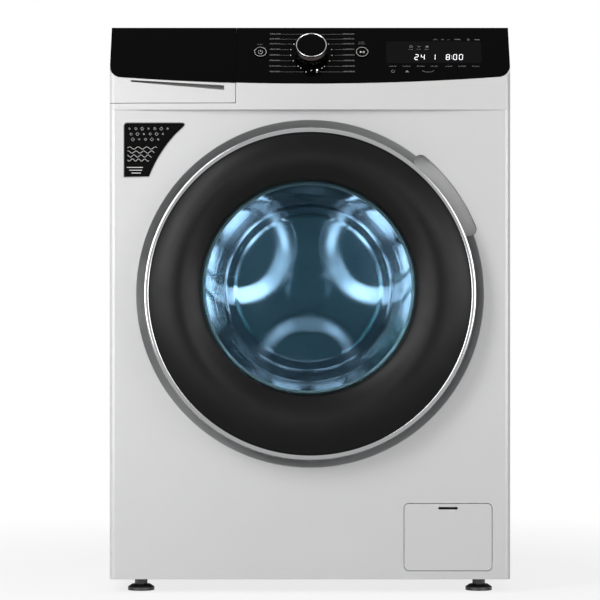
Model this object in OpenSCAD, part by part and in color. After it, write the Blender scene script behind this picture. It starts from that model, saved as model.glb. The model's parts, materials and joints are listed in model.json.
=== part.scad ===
// Front load washing machine: cabinet, sprung tub, drum, drive, door, dispenser and controls.
// Millimetres. X runs to the right, Y to the back, Z up; the floor is at z = 0.

/* [Cabinet] */
// Width over the side panels
cab_w = 600; // [590:1:640]
// Height from the floor to the worktop
cab_h = 850; // [840:1:880]
// Depth from the front panel to the rear panel
cab_d = 540; // [530:1:600]
// Height of the base above the floor
foot_h = 20; // [17:1:26]
// Thickness of the sheet-metal panels
sheet = 1.2; // [0.8:0.1:2]
// Radius of the upright front edges
edge_r = 8; // [5:0.5:11]
// Thickness of the worktop
top_t = 25; // [18:1:28]
// Height of the base tray's rim
base_h = 25; // [20:1:30]
// How far the door stands out in front of the front panel
door_proud = 40; // [38:1:46]
// How far the water connections stand out behind the rear panel
rear_proud = 20; // [16:1:30]
// Distance of the feet from the cabinet's sides
foot_inset = 45; // [40:1:60]
// Radius of a foot's screw
foot_screw_r = 5; // [4:0.5:6]
// Radius of a foot's pad
foot_pad_r = 20; // [16:1:24]

/* [Control panel] */
// Height of the control panel
console_h = 128; // [124:1:134]
// Tilt of the fascia from upright
fascia_tilt = 35; // [32:1:38]
// Drop from the worktop to the fascia's lower edge at the middle
fascia_h = 89; // [86:1:93]
// How far the control panel bows forward at the middle
bow = 8; // [5:0.5:10]
// Thickness of the black fascia plate
fascia_t = 3; // [2:0.5:4]
// Radius of the fascia's lower corners
fascia_r = 19; // [12:1:24]
// Wall of the plastic mouldings
wall = 2.5; // [2:0.1:3]
// Hairline gap between mouldings
seam = 0.8; // [0.5:0.1:1.2]
// Depth of the flat ledge along the control panel's top edge
ledge = 8; // [5:1:12]
// Distance from the knob's axis to the edge of the drawer front
drawer_gap = 113; // [106:1:120]
// Height of the strip below the drawer front
strip_h = 10; // [8:1:12]
// How far the knob's axis lies beside the cabinet's middle
knob_x = 2; // [-4:0.5:4]
// Distance of the knob's axis below the worktop
knob_drop = 44; // [41:1:46]
// Radius of the knob's face
knob_r = 23; // [20:0.5:24]
// Radius of the knob's skirt where it meets the fascia
knob_base_r = 25; // [22:0.5:26]
// Height of the knob
knob_h = 24; // [18:1:28]
// Radius of the two push buttons
button_r = 9.5; // [7:0.5:11]
// Distance of a push button from the knob's axis
button_x = 76.5; // [60:0.5:85]
// Distance of the push buttons below the worktop
button_drop = 40; // [37:1:42]
// Travel of a push button
button_travel = 1.5; // [1:0.1:2]
// Width of the display
display_w = 140; // [120:1:144]
// Height of the display along the fascia
display_h = 40; // [34:1:42]
// Distance of the display's middle from the cabinet's middle
display_x = 186; // [180:1:190]

/* [Door] */
// Outer radius of the chrome ring
ring_r = 247; // [244:0.5:248]
// Width of the chrome ring
ring_w = 7; // [5:0.5:9]
// Height of the ring's centre above the floor
ring_z = 447; // [442:1:452]
// Radius of the clear window
window_r = 158; // [154:1:160]
// How far the window's centre lies above the ring's centre
window_rise = 9; // [6:1:11]
// How far the window's centre lies beside the ring's centre
window_shift = -2; // [-4:0.5:2]
// Depth of the glass bowl behind the front panel's plane
bowl_d = 130; // [110:1:135]
// Thickness of the glass
glass_t = 4; // [3:0.5:5]
// Depth of the pressed recess round the door
dish_d = 18; // [16:0.5:19]
// Width of the recess beyond the ring
dish_gap = 13; // [12:0.5:16]
// Radius of the door hinge's pin
pin_r = 3; // [2.5:0.1:3.5]
// Half height of the door hinge
hinge_h = 40; // [34:1:46]

/* [Drum and tub] */
// Outer radius of the drum
drum_r = 240; // [234:1:242]
// Length of the drum
drum_l = 320; // [300:1:322]
// Thickness of the drum's sheet
drum_t = 1.5; // [1:0.1:2]
// Height of a lifter
lifter_h = 52; // [40:1:58]
// Gap between the drum and the tub's wall
tub_gap = 18; // [16:1:19]
// Wall of the tub
tub_t = 4; // [3:0.5:5]
// Radius of the drum's shaft
shaft_r = 12.5; // [10:0.5:14]
// Radius of the drum's pulley
pulley_r = 140; // [120:1:144]
// Radius of the motor's pulley
motor_pulley_r = 12; // [10:0.5:14]
// Radius of the motor
motor_r = 58; // [50:1:60]
// Wire radius of the suspension springs
spring_wire = 2; // [1.5:0.1:2.5]
// Turns of a suspension spring
spring_turns = 10; // [8:1:12]

/* [Drawer and service parts] */
// Height of the detergent tray
tray_h = 56; // [48:1:58]
// Length of the detergent tray
tray_l = 250; // [220:1:252]
// Width of the service hatch
hatch_w = 131; // [120:1:134]
// Height of the service hatch
hatch_h = 100; // [90:1:104]
// Distance of the hatch from the cabinet's right side
hatch_x = 28; // [26:1:34]
// Distance of the hatch above the base
hatch_z = 13; // [11:1:16]
// Corner radius of the hatch
hatch_r = 7; // [4:0.5:10]
// Radius of the pump filter's cap
filter_r = 28; // [24:1:30]

/* [Water and mains connections] */
// Outer radius of the water inlet's thread
inlet_r = 13.2; // [12:0.1:14]
// Outer radius of the drain spigot
drain_r = 9.5; // [8:0.1:11]
// Radius of the transport bolt holes
transit_r = 6; // [5:0.5:7]

/* [Clearances] */
// Gap between parts that move past each other
run = 0.4; // [0.3:0.05:0.5]
// Radial clearance of a pin or shaft in its bore
pin_fit = 0.05; // [0.03:0.01:0.08]

/* [Hidden] */
$fn = 96;
eps = 0.01;

// cabinet planes
half_w = cab_w / 2;
y_front = door_proud - (door_proud + cab_d + rear_proud) / 2;
y_rear = y_front + cab_d;
z_base = foot_h;
z_under_top = cab_h - top_t;
z_seam = cab_h - console_h;
flange = 14;
foot_x = half_w - foot_inset;
foot_y = [y_front + foot_inset, y_rear - foot_inset];

// fascia plane
z_fascia = cab_h - fascia_h;
y_bow = y_front - bow;
bow_half = half_w - edge_r;
bow_r = (bow_half * bow_half + bow * bow) / (2 * bow);
function fascia_y(z) = y_bow + (z - z_fascia) * tan(fascia_tilt);
y_ledge = fascia_y(cab_h) + ledge;
fascia_lip = 0.4;
fascia_rise = bow / tan(fascia_tilt);
edge_arc_r = (bow_half * bow_half + fascia_rise * fascia_rise) / (2 * fascia_rise);
z_edge = z_fascia - fascia_lip;
z_corner = z_edge + fascia_rise * pow((half_w - fascia_r) / bow_half, 2);
z_knob = cab_h - knob_drop;
z_button = cab_h - button_drop;
display_z = cab_h - 39;
x_drawer = knob_x - drawer_gap;
z_drawer = z_seam + strip_h;
panel_depth = 24;

// door planes
y_door = y_front - door_proud;
y_dish = y_front + dish_d;
dish_r = ring_r + dish_gap;
dish_floor_r = ring_r + 3;
opening_r = window_r + 32;
win_x = window_shift;
win_z = ring_z + window_rise;
y_ring_back = y_front - 17;
y_liner = y_dish - 5;
liner_t = 3;
skirt_r = ring_r - 3;
cover_t = 3;
cover_mid = ring_r - 47;
cover_rise = 12;
hinge_x = 15 - ring_r;
hinge_y = y_front - 10;
ear_t = 8;
latch_x = win_x + opening_r + 15;
latch_y = y_liner - liner_t - 8;
pocket_r = ring_r + 21;
pocket_from = 22;
pocket_to = 50;
function cover_y(r) = y_door + cover_rise * pow((r - cover_mid) / (ring_r - ring_w - cover_mid), 2);

// tub and drum planes
tub_r = drum_r + tub_gap + tub_t;
y_tub = y_dish + 37;
y_neck = y_tub - 17;
neck_r = window_r + 14;
y_split = y_tub + 165;
y_drum = y_tub + 25;
y_drum_end = y_drum + drum_l;
y_tub_end = y_drum_end + 25;
hub_end = y_tub_end + 33;
y_pulley = hub_end + 5;
belt_w = 14;
bearing_r = shaft_r * 2 + 1;
bearing_l = 15;
tub_lug_y = y_tub_end - 95;
spring_x = 200;
spring_r = 10;
z_spring_low = win_z + sqrt(tub_r * tub_r - spring_x * spring_x) + 26;
z_rail = z_under_top - 24;
damper_x = 150;
damper_y = y_tub + 125;
damper_r = 13;
rod_r = 5;
z_damper_lug = win_z - sqrt(tub_r * tub_r - damper_x * damper_x) - 8;
motor_x = -107;
motor_gap = 20;
motor_z = win_z - sqrt(pow(tub_r + motor_r + motor_gap, 2) - pow(motor_x - win_x, 2));
y_motor = y_tub_end - 145;
motor_l = 130;
sump_x = 20;
sump_w = 100;
sump_l = 140;
y_sump = y_split + 20;
z_sump = win_z - tub_r - 26;
drain_x = sump_x + 30;
drain_y = y_sump + 18;

z_heater = z_sump + 14;
heater_r = 4;
heater_gap = 16;
motor_shaft_r = 7;
elbow = 1.03;

// service parts
hatch_cx = half_w - hatch_x - hatch_w / 2;
hatch_low = z_base + hatch_z;
hatch_t = 2.5;
hatch_pin_z = hatch_low + hatch_r + 1;
hatch_pin_y = y_front + 2;
hatch_pin_r = 1;
filter_x = hatch_cx;
filter_z = hatch_low + 42;
pump_y = y_front + 26;
pump_r = filter_r + 8;

// dispenser
tray_x0 = -half_w + 14;
tray_x1 = x_drawer - 12;
tray_z = z_drawer + 10;
tray_y = y_front + panel_depth;
tray_y1 = tray_y + tray_l;
housing_y = y_ledge;
housing_y1 = tray_y1 + 8;
hose_x = tray_x1 - 20;
hose_y = housing_y1 - 30;
tray_t = 2;
spigot_r = 14;
z_housing = tray_z - run - tray_t - 1;
z_fill = win_z + sqrt(tub_r * tub_r - pow(hose_x - win_x, 2));

// rear connections
valve_x = -150;
shoulder = 1.5;
valve_z = z_rail - 16;
outlet_x = half_w - 65;
outlet_z = z_under_top - 125;
gland_x = 65 - half_w;
gland_z = z_under_top - 65;
cover_hole_r = pulley_r + 15;
transit_dx = 300;
transit_dz = 260;

// ---- helpers ----

// extrudes a front-view outline from y0 back to y1
module extrude_y(y0, y1) {
    translate([0, y1, 0]) rotate([90, 0, 0]) linear_extrude(y1 - y0) children();
}

// turns a section of (radius, y) about an axis along Y
module turn_y(x, z) {
    translate([x, 0, z]) rotate([-90, 0, 0]) rotate_extrude() children();
}

module rod_y(r, y0, y1, x, z) {
    translate([x, y0, z]) rotate([-90, 0, 0]) cylinder(r = r, h = y1 - y0);
}

module box(x0, x1, y0, y1, z0, z1) {
    translate([x0, y0, z0]) cube([x1 - x0, y1 - y0, z1 - z0]);
}

// rounded rectangle with its lower left corner at the origin
module round_rect(w, h, r) {
    translate([r, 0]) square([w - 2 * r, h]);
    translate([0, r]) square([w, h - 2 * r]);
    for (x = [r, w - r], y = [r, h - r]) translate([x, y]) circle(r = r);
}

// puts its children on the fascia at (x, z), with +Z along the fascia's outward normal
module on_fascia(x, z) {
    translate([x, fascia_y(z), z]) rotate([90 - fascia_tilt, 0, 0]) children();
}

// straight pipe along a list of points, with elbows that are balls a little wider than the pipe
module pipe_run(points, r) {
    for (i = [0 : len(points) - 2]) {
        a = points[i];
        b = points[i + 1];
        d = b - a;
        length = norm(d);
        translate(a) rotate([0, acos(d.z / length), atan2(d.y, d.x)]) cylinder(r = r, h = length, $fn = 32);
    }
    if (len(points) > 2) for (i = [1 : len(points) - 2]) translate(points[i]) rotate([90, 0, 0])
        sphere(r = r * elbow, $fn = 32);
}

module hose(points, r, t) {
    first = points[0];
    last = points[len(points) - 1];
    step_in = points[1] - first;
    step_out = last - points[len(points) - 2];
    inner = concat([first - step_in / norm(step_in)],
        [for (i = [1 : 1 : len(points) - 2]) points[i]], [last + step_out / norm(step_out)]);
    difference() {
        pipe_run(points, r);
        pipe_run(inner, r - t);
    }
}

// screw head with a cross slot, its axis along +Z
module screw_head(r, h) {
    difference() {
        cylinder(r = r, h = h, $fn = 32);
        for (a = [0, 90]) rotate(a) translate([-r * 0.6, -r * 0.12, h * 0.5]) cube([r * 1.2, r * 0.24, h]);
    }
}

// ---- cabinet ----

module side_panel(s) {
    notch_y = y_ledge + 1;
    mirror([s < 0 ? 1 : 0, 0, 0]) {
        translate([half_w - sheet, 0, 0]) rotate([90, 0, 90]) linear_extrude(sheet)
            polygon([[y_front + edge_r + 4, z_base], [y_rear, z_base], [y_rear, z_under_top],
                [notch_y, z_under_top], [notch_y, z_seam], [y_front + edge_r + 4, z_seam]]);
        box(half_w - flange, half_w - sheet + eps, y_rear - 2 * sheet, y_rear - sheet,
            z_base + base_h + 4, z_under_top - 4);
        box(half_w - flange, half_w - sheet + eps, notch_y, y_rear - 2 * sheet,
            z_under_top - sheet, z_under_top);
    }
}

module side_panel_left() { color("whitesmoke") side_panel(-1); }

module side_panel_right() { color("whitesmoke") side_panel(1); }

module rear_panel() {
    color("gainsboro") difference() {
        extrude_y(y_rear - sheet, y_rear) translate([sheet - half_w, z_base])
            square([cab_w - 2 * sheet, z_under_top - z_base]);
        rod_y(cover_hole_r, y_rear - 5, y_rear + 5, win_x, win_z);
        rod_y(inlet_r + shoulder + run, y_rear - 5, y_rear + 5, valve_x, valve_z);
        rod_y(drain_r + 3 + run, y_rear - 5, y_rear + 5, outlet_x, outlet_z);
        rod_y(8 + run, y_rear - 5, y_rear + 5, gland_x, gland_z);
        for (x = [-1, 1], z = [-1, 1])
            rod_y(transit_r, y_rear - 5, y_rear + 5, win_x + x * transit_dx / 2, win_z + z * transit_dz / 2);
    }
}

module rear_cover() {
    outer = cover_hole_r + 15;
    color("lightgray") turn_y(win_x, win_z) polygon([[0, y_rear + 8], [cover_hole_r - 16, y_rear + 8],
        [cover_hole_r - 6, y_rear], [outer, y_rear], [outer, y_rear + sheet],
        [cover_hole_r - 5.4, y_rear + sheet], [cover_hole_r - 15.4, y_rear + 8 + sheet],
        [0, y_rear + 8 + sheet]]);
}

module pocket_outline(grow) {
    mid = (ring_r + 1 + pocket_r) / 2;
    half = (pocket_r - ring_r - 1) / 2;
    intersection() {
        difference() {
            circle(r = pocket_r + grow);
            circle(r = ring_r - 12);
        }
        polygon([[0, 0], for (i = [0 : 4]) 2 * dish_r * [cos(pocket_from + (pocket_to - pocket_from) * i / 4),
            sin(pocket_from + (pocket_to - pocket_from) * i / 4)]]);
    }
    for (a = [pocket_from, pocket_to]) translate(mid * [cos(a), sin(a)]) circle(r = half + grow);
}

module hatch_outline(grow) {
    translate([hatch_cx - hatch_w / 2 - grow, hatch_low - grow])
        round_rect(hatch_w + 2 * grow, hatch_h + 2 * grow, hatch_r + grow);
}

module front_panel() {
    t = sheet;
    color("whitesmoke") difference() {
        union() {
            // folded sheet with round upright edges
            difference() {
                translate([0, 0, z_base]) linear_extrude(z_seam - z_base) difference() {
                    translate([-half_w, y_front]) round_rect(cab_w, 40, edge_r);
                    translate([t - half_w, y_front + t]) round_rect(cab_w - 2 * t, 60, edge_r - t);
                    translate([-cab_w, y_front + edge_r + 4]) square([2 * cab_w, 60]);
                }
                rod_y(dish_r, y_front - 5, y_front + 5, 0, ring_z);
                translate([0, 0, ring_z]) extrude_y(y_front - 5, y_front + 5) pocket_outline(0);
            }
            // folded top and bottom edges
            box(edge_r - half_w, half_w - edge_r, y_front + eps, y_front + flange, z_seam - t, z_seam);
            box(edge_r - half_w, half_w - edge_r, y_front + eps, y_front + flange, z_base, z_base + t);
            // pressed recess with its floor
            difference() {
                turn_y(0, ring_z) polygon([[dish_r, y_front], [dish_r + t, y_front], [dish_r + t, y_front + t],
                    [dish_floor_r + t, y_dish + t], [100, y_dish + t], [100, y_dish], [dish_floor_r, y_dish]]);
                translate([0, 0, ring_z]) extrude_y(y_front - 5, y_dish) pocket_outline(0);
                rod_y(opening_r, y_dish - 5, y_dish + 5, win_x, win_z);
            }
            // collar round the opening
            turn_y(win_x, win_z) translate([opening_r, y_dish]) square([t, flange]);
            // hand pocket
            difference() {
                translate([0, 0, ring_z]) extrude_y(y_front, y_dish + t) pocket_outline(t);
                translate([0, 0, ring_z]) extrude_y(y_front - 1, y_dish) pocket_outline(0);
                difference() {
                    rod_y(dish_floor_r + 1.5, y_front - 1, y_dish + 5, 0, ring_z);
                    translate([0, 0, ring_z]) extrude_y(y_front - 2, y_dish + 6) difference() {
                        circle(r = dish_r * 2);
                        circle(r = ring_r - 3);
                    }
                }
                turn_y(0, ring_z) polygon([[ring_r - 20, y_front - 1], [dish_r, y_front - 1], [dish_r, y_front],
                    [dish_floor_r, y_dish], [ring_r - 20, y_dish]]);
            }
            // ears for the hatch's pins
            for (m = [-1, 1]) translate([hatch_cx, 0, 0]) mirror([m < 0 ? 1 : 0, 0, 0])
                box(hatch_w / 2 + seam, hatch_w / 2 + seam + 5, y_front + eps, y_front + 7,
                    hatch_pin_z - 5, hatch_pin_z + 5);
        }
        extrude_y(y_front - 5, y_front + 20) hatch_outline(seam);
        translate([hatch_cx - hatch_w / 2 - seam - 4.5, hatch_pin_y, hatch_pin_z]) rotate([0, 90, 0])
            cylinder(r = hatch_pin_r + pin_fit, h = hatch_w + 2 * seam + 9, $fn = 32);
        // slot for the door's hook
        box(latch_x - 10, latch_x + 13, y_dish - 5, y_dish + 5, ring_z - 12, ring_z + 12);
    }
}

module base_frame() {
    x = half_w - sheet - run;
    y0 = y_front + flange + run;
    y1 = y_rear - 2 * sheet - run;
    z = z_base + sheet;
    color("dimgray") difference() {
        union() {
            difference() {
                box(-x, x, y0, y1, z, z_base + base_h);
                box(wall - x, x - wall, y0 + wall, y1 - wall, z + wall, z_base + base_h + 1);
            }
            for (sx = [-1, 1], y = foot_y) translate([sx * foot_x, y, z_base]) cylinder(r = 15, h = base_h + 5);
            for (y = [y0 + 130, (y0 + y1) / 2, y1 - 130]) box(-x, x, y - 2, y + 2, z + eps, z_base + base_h * 0.7);
            for (s = [-1, 1]) translate([s * damper_x, damper_y, z]) cylinder(r = damper_r + 6, h = 10);
        }
        for (sx = [-1, 1], y = foot_y) translate([sx * foot_x, y, 0])
            cylinder(r = foot_screw_r + pin_fit, h = cab_h / 2, $fn = 48);
        // open middle of the tray
        for (sx = [-1, 1]) box(sx > 0 ? 20 : -100, sx > 0 ? 100 : -20, y1 - 120, y1 - 30, 0, z + wall + 1);
    }
}

module top_plate() {
    color("white") difference() {
        translate([-half_w, y_ledge + seam, z_under_top])
            cube([cab_w, y_rear - y_ledge - seam, top_t]);
        for (s = [-1, 1]) translate([s * half_w, 0, cab_h]) rotate([0, 45, 0]) cube([3, 3 * cab_d, 3], center = true);
    }
}

module rear_rail() {
    x = half_w - sheet - run;
    t = 2;
    z1 = z_under_top - sheet - run;
    color("silver") union() {
        box(-x, x, tub_lug_y - 15, tub_lug_y + 15, z1 - t, z1);
        for (m = [0, 1]) translate([0, tub_lug_y, 0]) mirror([0, m, 0]) box(-x, x, 15 - t, 15, z_rail, z1);
        for (m = [-1, 1]) rod_y(3, tub_lug_y - 14.5, tub_lug_y + 14.5, m * spring_x, z_rail + 6);
    }
}

module cabinet_screws() {
    color("silver") {
        for (a = [45 : 90 : 315]) translate([win_x + (cover_hole_r + 8) * cos(a), y_rear + sheet,
            win_z + (cover_hole_r + 8) * sin(a)]) rotate([-90, 0, 0]) screw_head(4, 2.4);
        for (s = [-1, 1], k = [0 : 3]) translate([s * (half_w - flange / 2), y_rear,
            z_base + 60 + k * (z_under_top - z_base - 120) / 3]) rotate([-90, 0, 0]) screw_head(4, 2.4);
        for (s = [-1, 1]) translate([s * (half_w - 60), y_rear, z_under_top + top_t * 0.4])
            rotate([-90, 0, 0]) screw_head(4, 2.4);
    }
}

// ---- control panel ----

module plan_outline(inset) {
    translate([inset - half_w, y_front + inset]) round_rect(cab_w - 2 * inset, 160, edge_r - inset);
    intersection() {
        translate([0, y_bow + bow_r]) circle(r = bow_r - inset, $fn = 720);
        translate([-bow_half, y_bow]) square([2 * bow_half, 40]);
    }
}

// body of the whole control panel, shrunk by inset at the front, the sides and the sloping face
module console_body(inset, z0) {
    drop = inset / cos(fascia_tilt);
    intersection() {
        translate([0, 0, z0]) linear_extrude(cab_h - z0) plan_outline(inset);
        translate([-cab_w, 0, 0]) rotate([90, 0, 90]) linear_extrude(2 * cab_w) polygon([[y_bow - 20, z_seam - 1],
            [y_ledge, z_seam - 1], [y_ledge, cab_h], [fascia_y(cab_h) + drop, cab_h],
            [fascia_y(z_fascia - 40) + drop, z_fascia - 40]]);
    }
}

module fascia_corners() {
    for (s = [-1, 1]) mirror([s < 0 ? 1 : 0, 0, 0]) extrude_y(y_bow - 20, y_ledge + 20)
        translate([half_w - fascia_r, z_corner]) difference() {
            translate([0, -30]) square([fascia_r + 1, fascia_r + 30]);
            translate([0, fascia_r]) circle(r = fascia_r);
        }
}

// black plate over the whole width, its lower edge along the crease
module fascia_plate() {
    difference() {
        console_body(0, z_seam);
        console_below(fascia_t);
        fascia_corners();
        extrude_y(y_bow - 20, y_ledge + 20) difference() {
            translate([-cab_w, z_seam - 1]) square([2 * cab_w, z_edge + 2 * fascia_rise - z_seam]);
            translate([0, z_edge + edge_arc_r]) circle(r = edge_arc_r, $fn = 720);
        }
    }
}

// everything deeper than d below the sloping face
module console_below(d) {
    drop = d / cos(fascia_tilt);
    translate([-cab_w, 0, 0]) rotate([90, 0, 90]) linear_extrude(2 * cab_w) polygon([
        [fascia_y(z_seam - 60) + drop, z_seam - 60], [y_rear, z_seam - 60], [y_rear, cab_h + 50],
        [fascia_y(cab_h + 50) + drop, cab_h + 50]]);
}

module control_holes(extra) {
    on_fascia(knob_x, z_knob) translate([0, 0, -30]) cylinder(r = 4.5 + extra, h = 60, $fn = 48);
    for (s = [-1, 1]) on_fascia(knob_x + s * button_x, z_button) translate([0, 0, -30])
        cylinder(r = button_r + run, h = 60);
}

module control_fascia() {
    color("black") difference() {
        fascia_plate();
        translate([-cab_w + x_drawer + seam / 2, y_bow - 50, 0]) cube([cab_w, cab_d, cab_h + 1]);
        control_holes(0);
    }
}

module control_panel() {
    color("whitesmoke") difference() {
        console_body(0, z_seam);
        fascia_plate();
        // hollow, open to the back
        intersection() {
            console_body(wall + fascia_t, z_seam + wall);
            box(-cab_w, cab_w, y_bow, y_ledge + 9, z_seam + wall, cab_h - wall);
        }
        box(wall - half_w, half_w - wall, y_ledge - wall - eps, y_ledge + 9, z_seam + wall, cab_h - wall);
        // open underside behind the lower flange
        box(-cab_w, cab_w, y_front + 20, y_ledge + 9, z_seam - 1, z_seam + wall + eps);
        // room for the drawer
        box(-cab_w, x_drawer + seam / 2, y_bow - 20, y_ledge + 9, z_drawer - seam / 2, cab_h + 1);
        control_holes(0);
        on_fascia(display_x, display_z) translate([-display_w / 2 + 4, -display_h / 2 + 4, -20])
            cube([display_w - 8, display_h - 8, 40]);
    }
}

module control_board() {
    t = 1.6;
    z_mid = z_knob - 4;
    board_x0 = knob_x - button_x - 16;
    board_x1 = display_x + display_w / 2 - 2;
    deep = fascia_t + wall + 6;
    color("darkgreen") difference() {
        union() {
            on_fascia(0, z_mid) translate([board_x0, -26, -deep - t]) cube([board_x1 - board_x0, 52, t]);
            on_fascia(display_x, display_z) translate([-display_w / 2 + 6, -display_h / 2 + 6, -deep - eps])
                cube([display_w - 12, display_h - 12, deep - fascia_t - seam]);
            on_fascia(knob_x, z_knob) translate([0, 0, -deep - eps]) cylinder(r = 9, h = 5);
            for (s = [-1, 1]) on_fascia(knob_x + s * button_x, z_button) translate([-3, -3, -deep - eps])
                cube([6, 6, 2.5]);
            // posts that carry the board in the panel
            for (x = [board_x0 + 6, 45, board_x1 - 6]) on_fascia(x, z_mid) translate([0, -21, -deep - eps])
                cylinder(r = 3, h = deep - fascia_t - wall - 0.3, $fn = 32);
        }
        on_fascia(knob_x, z_knob) translate([0, 0, -40]) cylinder(r = 4 + pin_fit, h = 60, $fn = 48);
    }
}

module programme_knob() {
    groove = 1.2;
    color("silver") on_fascia(knob_x, z_knob) difference() {
        union() {
            translate([0, 0, run]) rotate_extrude() polygon([[0, 0], [knob_base_r, 0], [knob_base_r, 3],
                [knob_base_r - 2, 5], [knob_r - 3.5, knob_h - 8], [knob_r - 2, knob_h - 4], [knob_r, knob_h - 2.5],
                [knob_r, knob_h - 0.8], [knob_r - 0.8, knob_h], [0, knob_h]]);
            translate([0, 0, -fascia_t - wall - 9]) cylinder(r = 4, h = 20, $fn = 48);
        }
        translate([0, 0, knob_h - groove + run]) cylinder(r = knob_r - 2.2, h = 5);
    }
}

module push_button(s) {
    stem = 3;
    color("black") on_fascia(knob_x + s * button_x, z_button) {
        difference() {
            translate([0, 0, -fascia_t]) cylinder(r = button_r, h = fascia_t + 2);
            translate([0, 0, 1.4]) cylinder(r = button_r - 1.6, h = 5);
        }
        translate([0, 0, -fascia_t - wall - 1.6]) cylinder(r = stem, h = wall + 2);
    }
}

module power_button() { push_button(-1); }

module start_button() { push_button(1); }

// ---- dispenser ----

module drawer_front() {
    x1 = x_drawer - seam / 2;
    z0 = z_drawer + seam / 2;
    slot = [[32 - half_w, z_fascia + 5.6], [x1 - 17, z_fascia - 2.7], [x1 - 17, z_fascia - 9.6],
        [32 - half_w, z_fascia + 3]];
    color("whitesmoke") difference() {
        union() {
            difference() {
                intersection() {
                    console_body(0, z0);
                    box(-cab_w, x1, y_bow - 20, y_ledge + 1, z0, cab_h);
                }
                intersection() {
                    console_body(wall, z0 + wall);
                    box(wall - half_w, x1 - wall, y_bow, y_ledge + 1, z0 + wall, cab_h - wall);
                }
            }
            // walls of the finger slot and the tray's back plate
            extrude_y(y_front + 1, y_front + panel_depth - 2) offset_slot(slot, 2);
            intersection() {
                console_body(0, z0);
                box(tray_x0, tray_x1, y_front + panel_depth - 3, y_front + panel_depth, z0, tray_z + tray_h);
            }
        }
        extrude_y(y_bow - 20, y_front + panel_depth - 4) offset_slot(slot, 0);
    }
}

// slanted slot outline, grown by g in height and length
module offset_slot(p, g) {
    polygon([p[0] + [-g, g], p[1] + [g, g], p[2] + [g, -g], p[3] + [-g, -g]]);
}

module detergent_tray() {
    t = tray_t;
    third = (tray_x1 - tray_x0 - 4 * t) / 3;
    color("aliceblue") difference() {
        box(tray_x0, tray_x1, tray_y, tray_y1, tray_z, tray_z + tray_h);
        for (i = [0 : 2]) box(tray_x0 + t + i * (third + t), tray_x0 + t + i * (third + t) + third,
            tray_y + t, tray_y1 - (i == 1 ? 70 : t), tray_z + t, tray_z + tray_h + 1);
        // well of the release catch
        box(tray_x0 + 2 * t + third + 10, tray_x0 + 2 * t + 2 * third - 10, tray_y1 - 62, tray_y1 - t,
            tray_z + tray_h - 24, tray_z + tray_h + 1);
        // drain notches at the back
        for (i = [0, 2]) box(tray_x0 + t + i * (third + t) + 8, tray_x0 + t + i * (third + t) + third - 8,
            tray_y1 - 2 * t, tray_y1 + 1, tray_z + t, tray_z + 14);
    }
}

module softener_cap() {
    t = tray_t;
    third = (tray_x1 - tray_x0 - 4 * t) / 3;
    x0 = tray_x0 + 2 * t + third;
    z = tray_z + tray_h - 12;
    color("royalblue") difference() {
        union() {
            box(x0 + run, x0 + third - run, tray_y + t + run, tray_y + 110, z, z + 2);
            box(x0 + run, x0 + third - run, tray_y + t + run, tray_y + t + run + 2, tray_z + t, z + 1);
            translate([x0 + third / 2, tray_y + 90, tray_z + t + 3]) cylinder(r = 8, h = z - tray_z - t - 2);
        }
        translate([x0 + third / 2, tray_y + 90, tray_z]) cylinder(r = 6, h = z - tray_z);
        translate([x0 + third / 2, tray_y + 40, z - 5]) cylinder(r = 10, h = 20);
    }
}

module drawer_release() {
    t = tray_t;
    third = (tray_x1 - tray_x0 - 4 * t) / 3;
    x0 = tray_x0 + 2 * t + third + 10 + run;
    x1 = tray_x0 + 2 * t + 2 * third - 10 - run;
    z = tray_z + tray_h;
    color("royalblue") {
        box(x0, x1, tray_y1 - 62 + run, tray_y1 - t - run, z - 12, z - 9);
        box(x0, x1, tray_y1 - 62 + run, tray_y1 - 59, z - 12, z - 2);
        for (s = [0, 1]) box(s > 0 ? x1 - 2 : x0, s > 0 ? x1 : x0 + 2, tray_y1 - 40, tray_y1 - 10, z - 14.5, z - 11);
    }
}

module dispenser_housing() {
    g = 1.2;
    x0 = tray_x0 - g;
    x1 = tray_x1 + g;
    z1 = z_under_top - 12;
    color("lightgray") difference() {
        union() {
            difference() {
                box(x0 - tray_t, x1 + tray_t, housing_y + 2, housing_y1, z_housing, z1);
                box(x0, x1, housing_y, housing_y1 - tray_t, z_housing + tray_t + 1, z1 - tray_t);
            }
            // water distributor on the lid
            box(x0 + 10, x1 - 10, housing_y + 40, housing_y1 - 30, z1 - eps, z1 + 8);
            // stub for the water inlet
            rod_y(9, housing_y1 - 1, housing_y1 + 14, valve_x, valve_z);
            // stub for the fill hose
            translate([hose_x, hose_y, z_housing - 12]) cylinder(r = spigot_r, h = 13);
            // side ledge that carries the housing on the cabinet
            box(sheet - half_w + run, x0, housing_y + 20, housing_y1 - 20, z1 - 12, z1 - 8);
        }
        rod_y(6.5, housing_y1 - 10, housing_y1 + 20, valve_x, valve_z);
        translate([hose_x, hose_y, z_housing - 20]) cylinder(r = spigot_r - 3, h = 30);
    }
}

// ---- water connections ----

module inlet_valve() {
    color("white") difference() {
        union() {
            rod_y(inlet_r, y_rear - 6, y_rear + rear_proud, valve_x, valve_z);
            rod_y(inlet_r + 5, y_rear - sheet - 6, y_rear - sheet, valve_x, valve_z);
            rod_y(inlet_r + shoulder, y_rear - sheet - 1, y_rear + shoulder, valve_x, valve_z);
            box(valve_x - 16, valve_x + 16, y_rear - 48, y_rear - sheet - 5, valve_z - 16, valve_z + 16);
            for (s = [-1, 1]) translate([valve_x + s * 9, y_rear - 30, valve_z - 46])
                cylinder(r = 8, h = 34, $fn = 32);
            rod_y(9, y_rear - 66, y_rear - 47, valve_x, valve_z);
        }
        rod_y(inlet_r - 3, y_rear - 4, y_rear + rear_proud + 1, valve_x, valve_z);
        rod_y(6.5, y_rear - 70, y_rear - 50, valve_x, valve_z);
    }
}

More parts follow.
